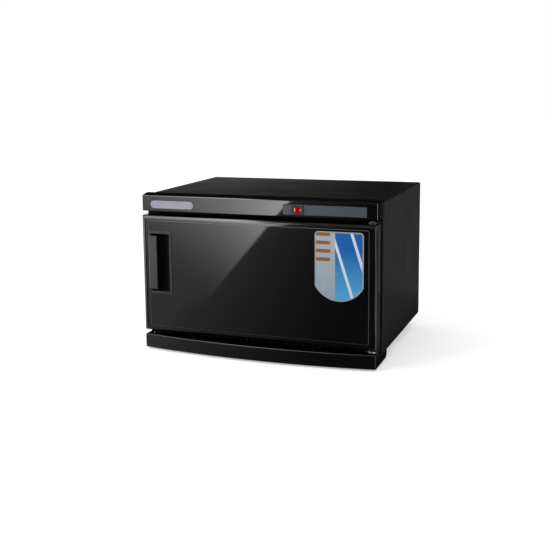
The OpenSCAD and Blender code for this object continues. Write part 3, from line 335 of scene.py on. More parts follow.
@dataclass(frozen=True)
class Finish:
    """A finish whose two close shades drift over the piece and whose grain bumps it.

    Attributes:
        name: The real material and how its surface was made; for painted light or shade, what it paints.
        shade: Main sRGB colour.
        drift_shade: The colour that it drifts to.
        roughness: Least and greatest roughness, which drift with the colour.
        drift_mm: Size of the drift's patches.
        grain_mm: Size of the grain, or its sizes along x, y and z.
        grain_depth_mm: Height of the grain.
        metallic: 1 for bare metal.
        ior: Index of refraction.
        transmission: 1 for clear glass.
    """

    name: str
    shade: str
    drift_shade: str
    roughness: Pair
    drift_mm: float
    grain_mm: float | Triple
    grain_depth_mm: float
    metallic: float = 0.0
    ior: float = 1.5
    transmission: float = 0.0

    def material(self) -> bpy.types.Material:
        """Makes the material once and gives it back after that.

        Returns:
            The material.
        """
        made = bpy.data.materials.get(self.name)
        if made is None:
            made = bpy.data.materials.new(self.name)
            made.use_nodes = True
            self.surface(made.node_tree, made.node_tree.nodes["Principled BSDF"])
        return made

    def surface(self, tree: Tree, shader: Node) -> None:
        """Sets the shader's constants and links the drift and the grain to it.

        Args:
            tree: The material's node tree.
            shader: Its Principled shader.
        """
        place = add(tree, "TexCoord").outputs["Object"]
        drift = add(tree, "TexNoise", {"Vector": place, "Scale": 1 / (self.drift_mm * MM), "Detail": 3.0})
        spans = dict(zip(("From Min", "From Max", "To Min", "To Max"), DRIFT_SPAN + self.roughness))
        polish = add(tree, "MapRange", {"Value": drift, **spans})
        tint = add(tree, "Mix", {0: drift, 6: linear(self.shade), 7: linear(self.drift_shade)},
                   data_type="RGBA")
        fineness = (1 / (np.broadcast_to(self.grain_mm, 3) * MM)).tolist()
        stretch = add(tree, "Mapping", {"Vector": place, "Scale": fineness})
        grain = add(tree, "TexNoise", {"Vector": stretch, "Scale": 1.0, "Detail": 2.0})
        bump = add(tree, "Bump", {"Height": grain, "Distance": self.grain_depth_mm * MM})
        feed(tree, shader, {
            "Metallic": self.metallic, "IOR": self.ior, "Transmission Weight": self.transmission,
            "Base Color": tint.outputs[2], "Roughness": polish, "Normal": bump})


# Moulded gloss ABS: near black and mirror-like, with a very slight waviness that softens reflections.
GLOSS_ABS = Finish("moulded_gloss_black_abs", "#070708", "#0a0a0b", (0.02, 0.04), 60.0, 14.0, 0.002,
                   ior=1.52)
# Painted highlight on black ABS: the tray's rounded edges in dull grey, an even light line for the rim's
# reflection.
RIM_HIGHLIGHT_ABS = Finish("black_abs_painted_rim_highlight", "#222224", "#2a2a2c", (0.36, 0.46), 9.0, 0.7, 0.01)
# Painted highlight on black ABS: the door's fine edges in dull grey, thin light lines for the light they
# catch.
EDGE_HIGHLIGHT_ABS = Finish("black_abs_painted_edge_highlight", "#4c4c4e", "#565658", (0.36, 0.46), 9.0, 0.7, 0.01)
# Powder-coated sheet steel: satin black with a fine orange peel, drawn at about twice its real size to show.
POWDER_COAT = Finish("powder_coated_black_steel", "#111113", "#151517", (0.36, 0.44), 45.0, 1.4, 0.03)
# Spark-textured ABS: dull black with a fine even grain, drawn a little coarser than it is.
TEXTURED_ABS = Finish("spark_textured_black_abs", "#0b0b0c", "#101011", (0.42, 0.54), 30.0, 0.7, 0.03)
# Satin ABS with painted highlight: the handle's grip, a little paler and bluer than the parts round it, for
# the light on its face.
GRIP_HIGHLIGHT_ABS = Finish("satin_black_abs_painted_highlight", "#1d1d23", "#212127", (0.28, 0.36), 20.0, 0.7, 0.01)
# Painted shade on black ABS: near black and matt, so the handle's pocket, the tray's trough and the front
# frame give back almost no light.
SHADE_PAINTED_ABS = Finish("black_abs_painted_shade", "#040405", "#060607", (0.8, 0.95), 20.0, 0.9, 0.04, ior=1.3)
# Moulded white ABS: slightly warm, with faint flow marks.
WHITE_ABS = Finish("moulded_white_abs", "#e4e3dd", "#dad9d2", (0.3, 0.4), 35.0, 2.5, 0.01)
# Anodised aluminium: pale silver with a lavender cast and fine brushed lines along x.
BADGE_METAL = Finish("brushed_anodised_aluminium", "#898a96", "#82838e", (0.34, 0.42), 8.0,
                     (14.0, 0.35, 0.35), 0.01, metallic=0.35)
# Screen-printed polycarbonate film: blue-grey, matt, with a very fine texture.
INLAY_FILM = Finish("printed_polycarbonate_film", "#293243", "#2e3748", (0.34, 0.42), 20.0, 0.5, 0.008,
                    ior=1.58)
# Dyed polycarbonate: clear signal red with a polished surface.
RED_CARBONATE = Finish("polished_red_polycarbonate", "#a00c14", "#900a12", (0.06, 0.12), 12.0, 2.0, 0.006,
                       ior=1.58)
# Moulded rubber: dull black with a bloom that greys it in patches.
RUBBER = Finish("moulded_black_rubber", "#161616", "#1f1f1f", (0.65, 0.8), 9.0, 0.8, 0.04)
# Zinc-plated steel: cool grey metal with soft patches.
ZINC_STEEL = Finish("zinc_plated_steel", "#b7bbc0", "#a6abb2", (0.26, 0.38), 5.0, 1.2, 0.01, metallic=1.0)
# Rolled aluminium sheet: pale metal with long rolling lines along x.
ROLLED_ALLOY = Finish("rolled_aluminium_sheet", "#c9cbce", "#bfc2c6", (0.26, 0.36), 25.0,
                      (40.0, 0.8, 0.8), 0.012, metallic=1.0)
# Chromed wire: bright mirror metal with slight drawing lines.
CHROME_WIRE = Finish("chromed_steel_wire", "#d9dbde", "#d2d4d8", (0.08, 0.14), 12.0, (6.0, 1.5, 6.0), 0.004,
                     metallic=1.0)
# Blackened steel: a hinge pin and the base, a dark satin metal that glints only where it turns to the light.
BLACK_STEEL = Finish("blackened_steel", "#57595d", "#4c4e52", (0.2, 0.3), 4.0, 1.2, 0.006, metallic=1.0)
# Stainless steel sheet: grey metal with brushed lines along x.
GUARD_STEEL = Finish("brushed_stainless_steel", "#c2c4c6", "#b8bbbe", (0.22, 0.32), 18.0,
                     (30.0, 0.5, 0.5), 0.01, metallic=1.0)
# Mineral wool: matted tan fibre, drawn coarser than its threads.
MINERAL_WOOL = Finish("matted_mineral_wool", "#c9b98a", "#a8986c", (0.9, 1.0), 6.0, (5.0, 1.0, 1.2), 0.5)
# Pad-printed ink: matt and nearly black, slightly uneven.
DARK_INK = Finish("pad_printed_dark_ink", "#15161a", "#1c1d22", (0.45, 0.6), 1.0, 0.4, 0.004)
# Pale ink with painted glint: matt and slightly uneven, and tinted pink so the rocker's marks also stand for
# the glints on its faces.
PALE_INK_AND_GLINT = Finish("pale_ink_and_painted_glint", "#dfb9b3", "#d4aea8", (0.45, 0.6), 1.0, 0.4, 0.004)
# Drawn quartz: a clear, smooth tube with a faint blue cast and fine draw lines along x.
LAMP_QUARTZ = Finish("drawn_quartz_tube", "#dbe9f5", "#cfe1f2", (0.02, 0.05), 10.0, (20.0, 1.0, 1.0), 0.003,
                     ior=1.46, transmission=1.0)


@dataclass(frozen=True)
class LabelPrint(Finish):
    """A printed and varnished paper label: bars on a pale panel beside slanting stripes on a shaded one.

    The design is worked out from Object coordinates as shares of the label's width and height, and the
    border from the attribute inset, which holds each point's distance from the label's edge in mm.
    """

    low: Pair = (0.0, 0.0)
    size: Pair = (1.0, 1.0)
    border_mm: float = 1.7
    split: float = 0.42
    slant: float = 0.45
    stripe_pitch: float = 0.2
    stripe_half: float = 0.03
    bar_pitch: float = 0.06
    bar_half: float = 0.026
    bars_low: float = 0.54
    bars_end: float = 0.32
    blue: tuple[str, str] = ("#4a9fd0", "#005ea8")
    blue_span: Pair = (0.1, 0.75)
    pale: tuple[str, str] = ("#90a2b0", "#abafb6")
    pale_span: Pair = (0.0, 1.0)
    stripe_shade: str = "#cfd8e2"
    bar_shade: str = "#8f5c34"
    rim_shade: str = "#9a9ca2"

    def surface(self, tree: Tree, shader: Node) -> None:
        """Links the design's colour to the plain finish in place of its tint.

        Args:
            tree: The material's node tree.
            shader: Its Principled shader.
        """
        super().surface(tree, shader)
        place = add(tree, "TexCoord").outputs["Object"]
        scale = [1 / self.size[0], 1.0, 1 / self.size[1]]
        start = [-self.low[0] * scale[0], 0.0, -self.low[1] * scale[2]]
        local = add(tree, "Mapping", {"Vector": place, "Location": start, "Scale": scale})
        parts = add(tree, "SeparateXYZ", {0: local})
        across, upward = parts.outputs["X"], parts.outputs["Z"]
        grounds = [add(tree, "ValToRGB", {0: upward}) for _ in range(2)]
        for ground, colours, span in zip(grounds, (self.blue, self.pale), (self.blue_span, self.pale_span)):
            for element, colour, position in zip(ground.color_ramp.elements, colours, span):
                element.color, element.position = linear(colour), position
        made: dict[str, Any] = {"across": across, "upward": upward, "blue": grounds[0], "pale": grounds[1]}
        made["inset"] = add(tree, "Attribute", attribute_name="inset").outputs["Fac"]
        for name, operation, *values in (
                ("lean", "MULTIPLY_ADD", "upward", self.slant, "across"),
                ("comb", "PINGPONG", "lean", self.stripe_pitch),
                ("stripe", "LESS_THAN", "comb", self.stripe_half),
                ("row", "PINGPONG", "upward", self.bar_pitch),
                ("bar", "LESS_THAN", "row", self.bar_half),
                ("high", "GREATER_THAN", "upward", self.bars_low),
                ("short", "LESS_THAN", "across", self.bars_end),
                ("high_bar", "MULTIPLY", "bar", "high"),
                ("short_bar", "MULTIPLY", "high_bar", "short"),
                ("side", "GREATER_THAN", "across", self.split),
                ("rim", "LESS_THAN", "inset", self.border_mm)):
            inputs = {number: made.get(value, value) for number, value in enumerate(values)}
            made[name] = add(tree, "Math", inputs, operation=operation)
        for name, share, below, above in (
                ("striped", "stripe", "blue", linear(self.stripe_shade)),
                ("barred", "short_bar", "pale", linear(self.bar_shade)),
                ("design", "side", "barred", "striped"),
                ("bordered", "rim", "design", linear(self.rim_shade))):
            inputs = {0: made[share], 6: made[below], 7: made.get(above, above)}
            made[name] = add(tree, "Mix", inputs, data_type="RGBA").outputs[2]
        feed(tree, shader, {"Base Color": made["bordered"]})


def give(piece: Object, finish: Finish) -> None:
    """Puts a finish in every material slot of a piece.

    Args:
        piece: The piece, which gets a slot if it has none.
        finish: The finish.
    """
    material = finish.material()
    if not piece.data.materials:
        piece.data.materials.append(material)
    for slot in piece.material_slots:
        slot.material = material


def part_finishes(piece: Object, finishes: tuple[Finish, ...]) -> None:
    """Gives a piece one material place for each of its finishes.

    Args:
        piece: The piece, whose earlier material places are cleared.
        finishes: The finishes in the order of their places.
    """
    piece.data.materials.clear()
    for finish in finishes:
        piece.data.materials.append(finish.material())


def dress_nodes(finish: Finish, *nodes: str) -> None:
    """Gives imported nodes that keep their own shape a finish.

    Args:
        finish: The finish.
        nodes: The nodes' names.
    """
    for node in nodes:
        give(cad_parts[node], finish)
        log.info("%s keeps its solid, finished in %s", node, finish.name)


def fit(piece: Object, body: Body, slot: Slot, finish: Finish, *nodes: str) -> Object:
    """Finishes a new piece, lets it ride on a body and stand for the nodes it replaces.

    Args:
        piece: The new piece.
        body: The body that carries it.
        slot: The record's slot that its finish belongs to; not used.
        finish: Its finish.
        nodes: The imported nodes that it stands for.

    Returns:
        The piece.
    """
    give(piece, finish)
    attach(piece, body.value)
    if nodes:
        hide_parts(*nodes)
    log.info("%s rides on %s, finished in %s", piece.name, body.value, finish.name)
    return piece


def finished_copy(node: str, edge_mm: float, body: Body, slot: Slot, finish: Finish) -> Object:
    """Copies a node, merges its loose triangles, breaks its sharp edges and lets the copy stand for it.

    Args:
        node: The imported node.
        edge_mm: Width of the small rounding of its edges.
        body: The body that carries it.
        slot: The record's slot that its finish belongs to.
        finish: Its finish.

    Returns:
        The copy.
    """
    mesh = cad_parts[node].data.copy()
    mesh.name = node + "_finished"
    custom = mesh.attributes.get("custom_normal")
    if custom is not None:
        mesh.attributes.remove(custom)
    with merged(mesh, SOLID_MERGE_M) as work:
        bmesh.ops.dissolve_limit(work, angle_limit=FLAT_ANGLE, verts=work.verts, edges=work.edges)
        shade(work)
    made = linked(node + "_finished", mesh)
    rounding = made.modifiers.new("edge_rounding", "BEVEL")
    rounding.width = edge_mm * MM
    rounding.segments = 3
    rounding.limit_method = "ANGLE"
    rounding.angle_limit = SHARP_ANGLE
    rounding.use_clamp_overlap = False
    rounding.harden_normals = True
    weight = made.modifiers.new("flat_normals", "WEIGHTED_NORMAL")
    weight.keep_sharp = True
    weight.weight = 100
    return fit(made, body, slot, finish, node)


def words(name: str, body: str, height: float, place: Triple, thick: float,
          turn: float = 0.0, stretch: float = 1.0) -> Object:
    """Makes a short printed mark that faces the front.

    The text is made a mesh first; its x stays x, its y becomes z and its front faces -y, before the
    mark is turned about an upright line through its middle.

    Args:
        name: The piece's name.
        body: The letters.
        height: Height of a capital letter in mm.
        place: Middle of the mark's back in mm.
        thick: Thickness of the ink in mm.
        turn: Degrees that the mark is turned, anticlockwise from above.
        stretch: Factor by which the letters are widened.

    Returns:
        The new object.
    """
    curve = bpy.data.curves.new(name, "FONT")
    curve.body = body
    curve.align_x, curve.align_y = "CENTER", "CENTER"
    curve.size = height / CAPITAL
    curve.extrude = thick / 2
    curve.resolution_u = 4
    holder = linked(name + "_text", curve)
    graph = bpy.context.evaluated_depsgraph_get()
    mesh = bpy.data.meshes.new_from_object(holder.evaluated_get(graph))
    bpy.data.objects.remove(holder)
    bpy.data.curves.remove(curve)
    mesh.name = name
    flat = rows_of(mesh.vertices, "co")
    across, out = flat[:, 0] * stretch, -flat[:, 2] - thick / 2
    c, s = math.cos(math.radians(turn)), math.sin(math.radians(turn))
    points = np.stack([c * across - s * out, s * across + c * out, flat[:, 1]], 1) + np.array(place)
    move_points(mesh, placed(points))
    with merged(mesh, MERGE_M) as work:
        bmesh.ops.recalc_face_normals(work, faces=work.faces)
    return linked(name, mesh)


@dataclass
class Cabinet:
    """The steel case with its rear, base, feet, front frame and hinge hardware."""

    edge: float = 0.3
    bracket_edge: float = 0.25

    def build(self) -> None:
        """Makes the pieces whose edges are broken."""
        for node, edge, slot, finish in (
                ("outer_case", self.edge, Slot.CASE_PAINT, POWDER_COAT),
                # The front frame, seen in the gaps round the door, is near black for a painted shade.
                ("front_frame", self.edge, Slot.BLACK_PLASTIC, SHADE_PAINTED_ABS),
                ("upper_hinge_bracket", self.bracket_edge, Slot.CASE_PAINT, POWDER_COAT),
                ("lower_hinge_bracket", self.bracket_edge, Slot.PLATED_STEEL, ZINC_STEEL)):
            finished_copy(node, edge, Body.CABINET, slot, finish)

    def dress(self) -> None:
        """Finishes the nodes that keep their solids."""
        dress_nodes(POWDER_COAT, "rear_panel", "tray_rail_left", "tray_rail_right")
        dress_nodes(TEXTURED_ABS, "magnet_catch")
        dress_nodes(WHITE_ABS, "door_switch", "door_switch_plunger")
        dress_nodes(BLACK_STEEL, "upper_hinge_pin", "base_panel")
        dress_nodes(CHROME_WIRE, "lower_hinge_pin")
        dress_nodes(RUBBER, "foot_front_left", "foot_front_right", "foot_rear_left", "foot_rear_right",
                    "cord_inlet")
        dress_nodes(ZINC_STEEL, "base_screws", "rear_screws", "foot_screws", "hinge_screws",
                    "tray_rail_screws")


@dataclass
class Fascia:
    """The moulding above the door with its badge plate, inlay and rocker switch."""

    edge: float = 0.25
    fall: float = 1.4
    reach: float = 21.5
    roof_z: float = 206.5
    mark_height: float = 2.6
    mark_z: float = 196.2
    inlay_y: float = -21.8
    on_x: float = 50.5
    off_x: float = 74.6
    ink: float = 0.06
    # The rocker's I and O marks are printed marks and painted glints: widened, turned onto its slanting face
    # and tinted pink.
    rocker_mark_height: float = 4.6
    rocker_ring_height: float = 2.2
    rocker_left: Triple = (59.54, -24.49, 195.8)
    rocker_left_turn: float = 18.0
    rocker_line_stretch: float = 2.0
    rocker_right: Triple = (66.85, -23.37, 195.8)

    def build(self) -> None:
        """Makes the moulding, the switch, the printed marks beside it and the two on its rocker, which are
        printed marks and painted glints.
        """
        self.moulding = finished_copy("top_fascia", self.edge, Body.CABINET, Slot.GLOSS_BLACK, GLOSS_ABS)
        self.slope_top()
        finished_copy("switch_housing", self.edge, Body.CABINET, Slot.BLACK_PLASTIC, TEXTURED_ABS)
        finished_copy("switch_rocker", self.edge, Body.ROCKER, Slot.RED_PLASTIC, RED_CARBONATE)
        self.marks = [
            words("mark_on", "ON", self.mark_height, (self.on_x, self.inlay_y, self.mark_z), self.ink),
            words("mark_off", "OFF", self.mark_height, (self.off_x, self.inlay_y, self.mark_z), self.ink)]
        self.rocker_marks = [
            words("rocker_line", "I", self.rocker_mark_height, self.rocker_left, self.ink,
                  self.rocker_left_turn, self.rocker_line_stretch),
            words("rocker_ring", "O", self.rocker_ring_height, self.rocker_right, self.ink)]

    def slope_top(self) -> None:
        """Lets the moulding's top fall towards the front, in proportion to the distance from the case."""
        mesh = self.moulding.data
        points = rows_of(mesh.vertices, "co")
        _, y, z = in_case(points).T
        share = ramp(-y, 0.0, self.reach) * (z > self.roof_z)
        points[:, 2] -= (self.fall * MM * share).astype(np.float32)
        move_points(mesh, points)

    def dress(self) -> None:
        """Finishes the printed marks, the rocker's two of which are also painted glints, and the nodes that
        keep their solids.
        """
        for mark in self.marks:
            fit(mark, Body.CABINET, Slot.INLAY_FILM, DARK_INK)
        # The rocker's marks take pale ink that is also a painted glint.
        for mark in self.rocker_marks:
            fit(mark, Body.ROCKER, Slot.WHITE_PLASTIC, PALE_INK_AND_GLINT)
        dress_nodes(BADGE_METAL, "badge_plate")
        dress_nodes(INLAY_FILM, "control_inlay")
        dress_nodes(ZINC_STEEL, "fascia_screws")


@dataclass
class Door:
    """The side-hung door with its handle, inner panel, gasket and printed label."""

    edge: float = 0.25
    front_y: float = -25.0
    pocket_y: float = -24.4
    grip_right: float = -147.8
    grip_z: float = 112.0
    grip_half: float = 38.6
    # The door's edge roundings take a painted highlight; the handle's inner faces a painted shade and its
    # grip a painted highlight.
    front_finishes: tuple[Finish, ...] = (GLOSS_ABS, EDGE_HIGHLIGHT_ABS)
    handle_finishes: tuple[Finish, ...] = (TEXTURED_ABS, SHADE_PAINTED_ABS, GRIP_HIGHLIGHT_ABS)
    half_width: float = 173.0
    low_z: float = 10.5
    top_z: float = 179.8
    border_y: float = -24.5
    border_slack: float = 0.09
    rounding: float = 3.6
    rounding_rear: float = -20.5
    ease_left: float = 1.8
    ease_right: float = 1.15
    ease_end: float = 1.3
    label_x: Pair = (87.8, 155.1)
    label_top: float = 169.1
    label_straight: float = 94.7
    label_low: float = 74.6
    label_corner: float = 5.0
    label_points: int = 65
    label_thick: float = 0.15
    label_rows: tuple[float, ...] = (0.0, 0.0, 0.12, 0.8, 1.7, 1.75, 2.6)
    label_shrink: tuple[float, ...] = (0.66, 0.33, 0.0)
    label_deep: float = 10.0

    def label_outline(self) -> Surface:
        """Works out the label's outline and its inward normals.

        The outline runs round a rectangle with two round corners at the top, whose bottom is an arc of
        a circle through the ends of its sides. The normals come from the outline's own direction.

        Returns:
            Points as x and z in mm, and unit vectors that point inwards.
        """
        left, right = self.label_x
        middle, half = (left + right) / 2, (right - left) / 2
        across, upward = np.cos(CORNER_TURN), np.sin(CORNER_TURN)
        r = self.label_corner
        top = self.label_top - r
        corner_right = np.stack([right - r + r * across, top + r * upward], 1)
        corner_left = np.stack([left + r - r * upward, top + r * across], 1)
        drop = self.label_straight - self.label_low
        radius = (half * half + drop * drop) / (2 * drop)
        reach = math.asin(half / radius)
        swing = np.linspace(-reach, reach, self.label_points)
        rise = radius * (1 - np.cos(swing))
        bottom = np.stack([middle + radius * np.sin(swing), self.label_low + rise], 1)
        outline = np.concatenate([corner_right, corner_left, bottom])
        way = np.roll(outline, -1, 0) - np.roll(outline, 1, 0)
        way /= np.linalg.norm(way, axis=1)[:, None]
        return outline, np.stack([-way[:, 1], way[:, 0]], 1)

    def build_label(self) -> Object:
        """Makes the label as rings set in from its outline.

        The first ring is the middle of its back. Row by row, the outline then moves inwards along its
        normals by the row's inset, and rises to the label's thickness after the first of these rows. The
        last rings shrink to the middle of its front.

        Returns:
            The label.
        """
        outline, inward = self.label_outline()
        inset = np.array(self.label_rows)
        rings = outline + inset[:, None, None] * inward
        centre = rings[-1].mean(0)
        shrink = np.array(self.label_shrink)[:, None, None]
        back = np.zeros((1, len(outline), 2)) + centre
        rings = np.concatenate([back, rings, centre + shrink * (rings[-1] - centre)])
        depth = np.concatenate([[self.label_deep], inset, np.full(len(shrink), self.label_deep)])
        rise = self.label_thick * (np.arange(len(rings)) > 1)
        y = np.broadcast_to(self.front_y - rise[:, None], rings.shape[:2])
        points = np.stack([rings[..., 0], y, rings[..., 1]], -1).reshape(-1, 3)
        values = np.broadcast_to(depth[:, None], rings.shape[:2])
        return put_mesh("door_label", placed(points), grid_faces(len(rings), len(outline), close_cols=True),
                        {"inset": values})

    def build(self) -> None:
        """Makes the door's visible pieces."""
        self.front = finished_copy("door_front", self.edge, Body.DOOR, Slot.GLOSS_BLACK, GLOSS_ABS)
        # The rounding of the door's edges takes the last finish, thin grey lines of painted highlight.
        self.front.modifiers["edge_rounding"].material = len(self.front_finishes) - 1
        part_finishes(self.front, self.front_finishes)
        self.ease_edges()
        self.handle = finished_copy("door_handle", self.edge, Body.DOOR, Slot.BLACK_PLASTIC, TEXTURED_ABS)
        self.part_handle()
        finished_copy("door_inner_panel", self.edge, Body.DOOR, Slot.WHITE_PLASTIC, WHITE_ABS)
        self.label = self.build_label()

    def ease_edges(self) -> None:
        """Widens the rounding of the door's four front edges and lays the border inside them flat.

        A point within the rounding moves away from the door's side, top or bottom until its distance
        from there has grown by the edge's own factor. A point close to the border's depth moves to it.
        """
        mesh = self.front.data
        x, y, z = in_case(rows_of(mesh.vertices, "co")).T
        y = np.where(np.abs(y - self.border_y) < self.border_slack, self.border_y, y)
        front = y < self.rounding_rear
        side, low, top = self.half_width - np.abs(x), z - self.low_z, self.top_z - z
        ease = np.where(x < 0.0, 1.0 - self.ease_left, self.ease_right - 1.0)
        x = x - ease * side * (front & (side < self.rounding))
        lifted = low * (front & (low < self.rounding)) - top * (front & (top < self.rounding))
        move_points(mesh, placed(np.stack([x, y, z + (self.ease_end - 1.0) * lifted], 1)))

    def part_handle(self) -> None:
        """Gives the handle's grip a painted highlight and the faces behind the door's front a painted shade,
        each in its own material place.
        """
        mesh = self.handle.data
        x, y, z = rows_of(mesh.polygons, "center").T
        edge = placed(np.array([self.grip_right, self.pocket_y, self.grip_z]))
        # Faces behind the door's front take the painted shade, and the grip's front faces the painted
        # highlight.
        inside = y > edge[1]
        grip = (x < edge[0]) & (np.abs(z - edge[2]) < self.grip_half * MM) & ~inside
        part_finishes(self.handle, self.handle_finishes)
        mesh.polygons.foreach_set("material_index", (inside + 2 * grip).astype(np.int32))

    def dress(self) -> None:
        """Finishes the label and the nodes that keep their solids."""
        low = placed(np.array([self.label_x[0], self.front_y, self.label_low]))
        print_finish = LabelPrint(
            "varnished_printed_label", "#ffffff", "#ffffff", (0.2, 0.28), 15.0, 1.0, 0.003,
            low=(float(low[0]), float(low[2])),
            size=((self.label_x[1] - self.label_x[0]) * MM, (self.label_top - self.label_low) * MM))
        fit(self.label, Body.DOOR, Slot.INLAY_FILM, print_finish)
        dress_nodes(TEXTURED_ABS, "upper_hinge_bush", "lower_hinge_bush")
        dress_nodes(RUBBER, "door_gasket")
        dress_nodes(ZINC_STEEL, "door_screws", "strike_plate")
        dress_nodes(MINERAL_WOOL, "door_insulation")


@dataclass
class Tray:
    """The bowed drip tray under the door."""

    edge: float = 0.9
    trough_z: float = -8.0
    rear_y: float = -12.0
    turned: float = 0.3
    # The trough takes a painted shade and the rounded edges a painted highlight.
    finishes: tuple[Finish, ...] = (GLOSS_ABS, SHADE_PAINTED_ABS, RIM_HIGHLIGHT_ABS)

    def build(self) -> None:
        """Makes the tray with its edges rounded."""
        self.tray = finished_copy("drip_tray", self.edge, Body.TRAY, Slot.GLOSS_BLACK, GLOSS_ABS)

    def dress(self) -> None:
        """Gives the trough's faces, which turn to the rear, up or inwards, a painted shade, and the edges a
        painted highlight.
        """
        mesh = self.tray.data
        x, y, z = in_case(rows_of(mesh.polygons, "center")).T
        aside, back, up = rows_of(mesh.polygons, "normal").T
        floor = (up > self.turned) & (z < self.trough_z)
        inside = floor | (back > self.turned) | (np.sign(x) * aside < -self.turned) | (y > self.rear_y)
        part_finishes(self.tray, self.finishes)
        # The trough's faces take the second finish, the painted shade.
        mesh.polygons.foreach_set("material_index", inside.astype(np.int32))
        # The edge rounding takes the last finish, the painted rim highlight.
        self.tray.modifiers["edge_rounding"].material = len(self.finishes) - 1


@dataclass
class Chamber:
    """The lined chamber with its wire rack and ultraviolet lamp."""

    rack_x: float = 141.0
    rack_y: Pair = (22.0, 201.5)
    rack_z: float = 48.0
    rack_corner: float = 10.0
    rack_wire: float = 4.0
    rack_bar: float = 2.5
    bars: int = 15
    weld: float = 0.4
    overhang: float = 1.0
    wire_sides: int = 14
    bar_sides: int = 12
    wire_points: int = 12
    bar_points: int = 10

    def rack_ring(self) -> Array:
        """Works out the rack's border wire, a level rectangle whose corners are quarter circles.

        Returns:
            The closed path's points in mm.
        """
        r, x = self.rack_corner, self.rack_x
        front, rear = self.rack_y
        middles = ((x - r, rear - r), (-x + r, rear - r), (-x + r, front + r), (x - r, front + r))
        turns = CORNER_TURN + np.arange(len(middles))[:, None] * math.pi / 2
        arcs = [np.stack([cx + r * np.cos(turn), cy + r * np.sin(turn)], 1)
                for (cx, cy), turn in zip(middles, turns)]
        ring = np.concatenate(arcs)
        return np.concatenate([ring, np.full((len(ring), 1), self.rack_z)], 1)

    def build(self) -> None:
        """Makes the wire rack from tubes along its border, its cross wire and its bars."""
        front, rear = self.rack_y
        lift = self.rack_z + (self.rack_wire + self.rack_bar) / 2 - self.weld
        across = np.linspace(-self.rack_x, self.rack_x, self.wire_points)
        cross = np.stack(np.broadcast_arrays(across, (front + rear) / 2, self.rack_z), 1)
        parts = [tube(self.rack_ring(), self.rack_wire / 2, self.wire_sides, True),
                 tube(cross, self.rack_wire / 2, self.wire_sides, False)]
        along = np.linspace(front - self.overhang, rear + self.overhang, self.bar_points)
        for x in np.linspace(-self.rack_x, self.rack_x, self.bars + 2)[1:-1]:
            bar = np.stack(np.broadcast_arrays(x, along, lift), 1)
            parts.append(tube(bar, self.rack_bar / 2, self.bar_sides, False))
        points, quads = gathered(parts)
        self.rack = put_mesh("wire_rack", placed(points), quads)

    def dress(self) -> None:
        """Finishes the rack and the nodes that keep their solids."""
        fit(self.rack, Body.CABINET, Slot.CHROME, CHROME_WIRE, "towel_rack")
        dress_nodes(ROLLED_ALLOY, "chamber_liner", "rack_rail_left", "rack_rail_right", "lamp_caps")
        dress_nodes(GUARD_STEEL, "lamp_guard")
        dress_nodes(LAMP_QUARTZ, "lamp_tube")
        dress_nodes(WHITE_ABS, "lamp_holder_left", "lamp_holder_right")


@dataclass
class Electrics:
    """The heating and electric parts between the chamber and the case."""

    def dress(self) -> None:
        """Finishes the parts, which keep their solids."""
        dress_nodes(MINERAL_WOOL, "insulation_jacket")
        dress_nodes(RUBBER, "heating_wire")
        dress_nodes(WHITE_ABS, "thermostat", "lamp_ballast", "terminal_block")
        dress_nodes(ROLLED_ALLOY, "thermal_fuse")
        dress_nodes(ZINC_STEEL, "electrics_shelf")


@dataclass(frozen=True)
class EdgePatch:
    """A bright patch on the front card, which only the rounding of one upright edge of the door mirrors.

    Attributes:
        side: -1 for the door's left edge, 1 for its right.
        level: Radiance at the edge, which changes by growth with each metre and stays within limits.
        start: Bearing from the edge in degrees where the patch starts, later by late close to the edge.
        end: Bearing where it ends, after it has faded over end_fade.
        far_level: Radiance added at the distance that the fascia's corner mirrors.
    """

    side: float
    level: float
    growth: float
    limits: Pair
    start: float
    late: float
    end: float
    end_fade: float
    far_level: float = 0.0
    start_fade: float = 6.0
    edge: Pair = (0.172, 0.125)
    near: Pair = (0.3, 0.15)
    far: Pair = (1.32, 1.35)

    def glow(self, place: Array) -> Array:
        """Works out how bright the patch is from each point's bearing and distance.

        Args:
            place: Grids of x, y and z in metres.

        Returns:
            The radiance at each point.
        """
        across, forward = self.side * place[0] - self.edge[0], -place[1] - self.edge[1]
        turn, away = np.degrees(np.arctan2(across, forward)), np.hypot(across, forward)
        level = np.clip(self.level + self.growth * away, *self.limits)
        level += self.far_level * ramp(away, *self.far)
        start = self.start + self.late * ramp(away, *self.near)
        level *= ramp(turn, start, start + self.start_fade)
        return level * ramp(turn, self.end, self.end - self.end_fade)


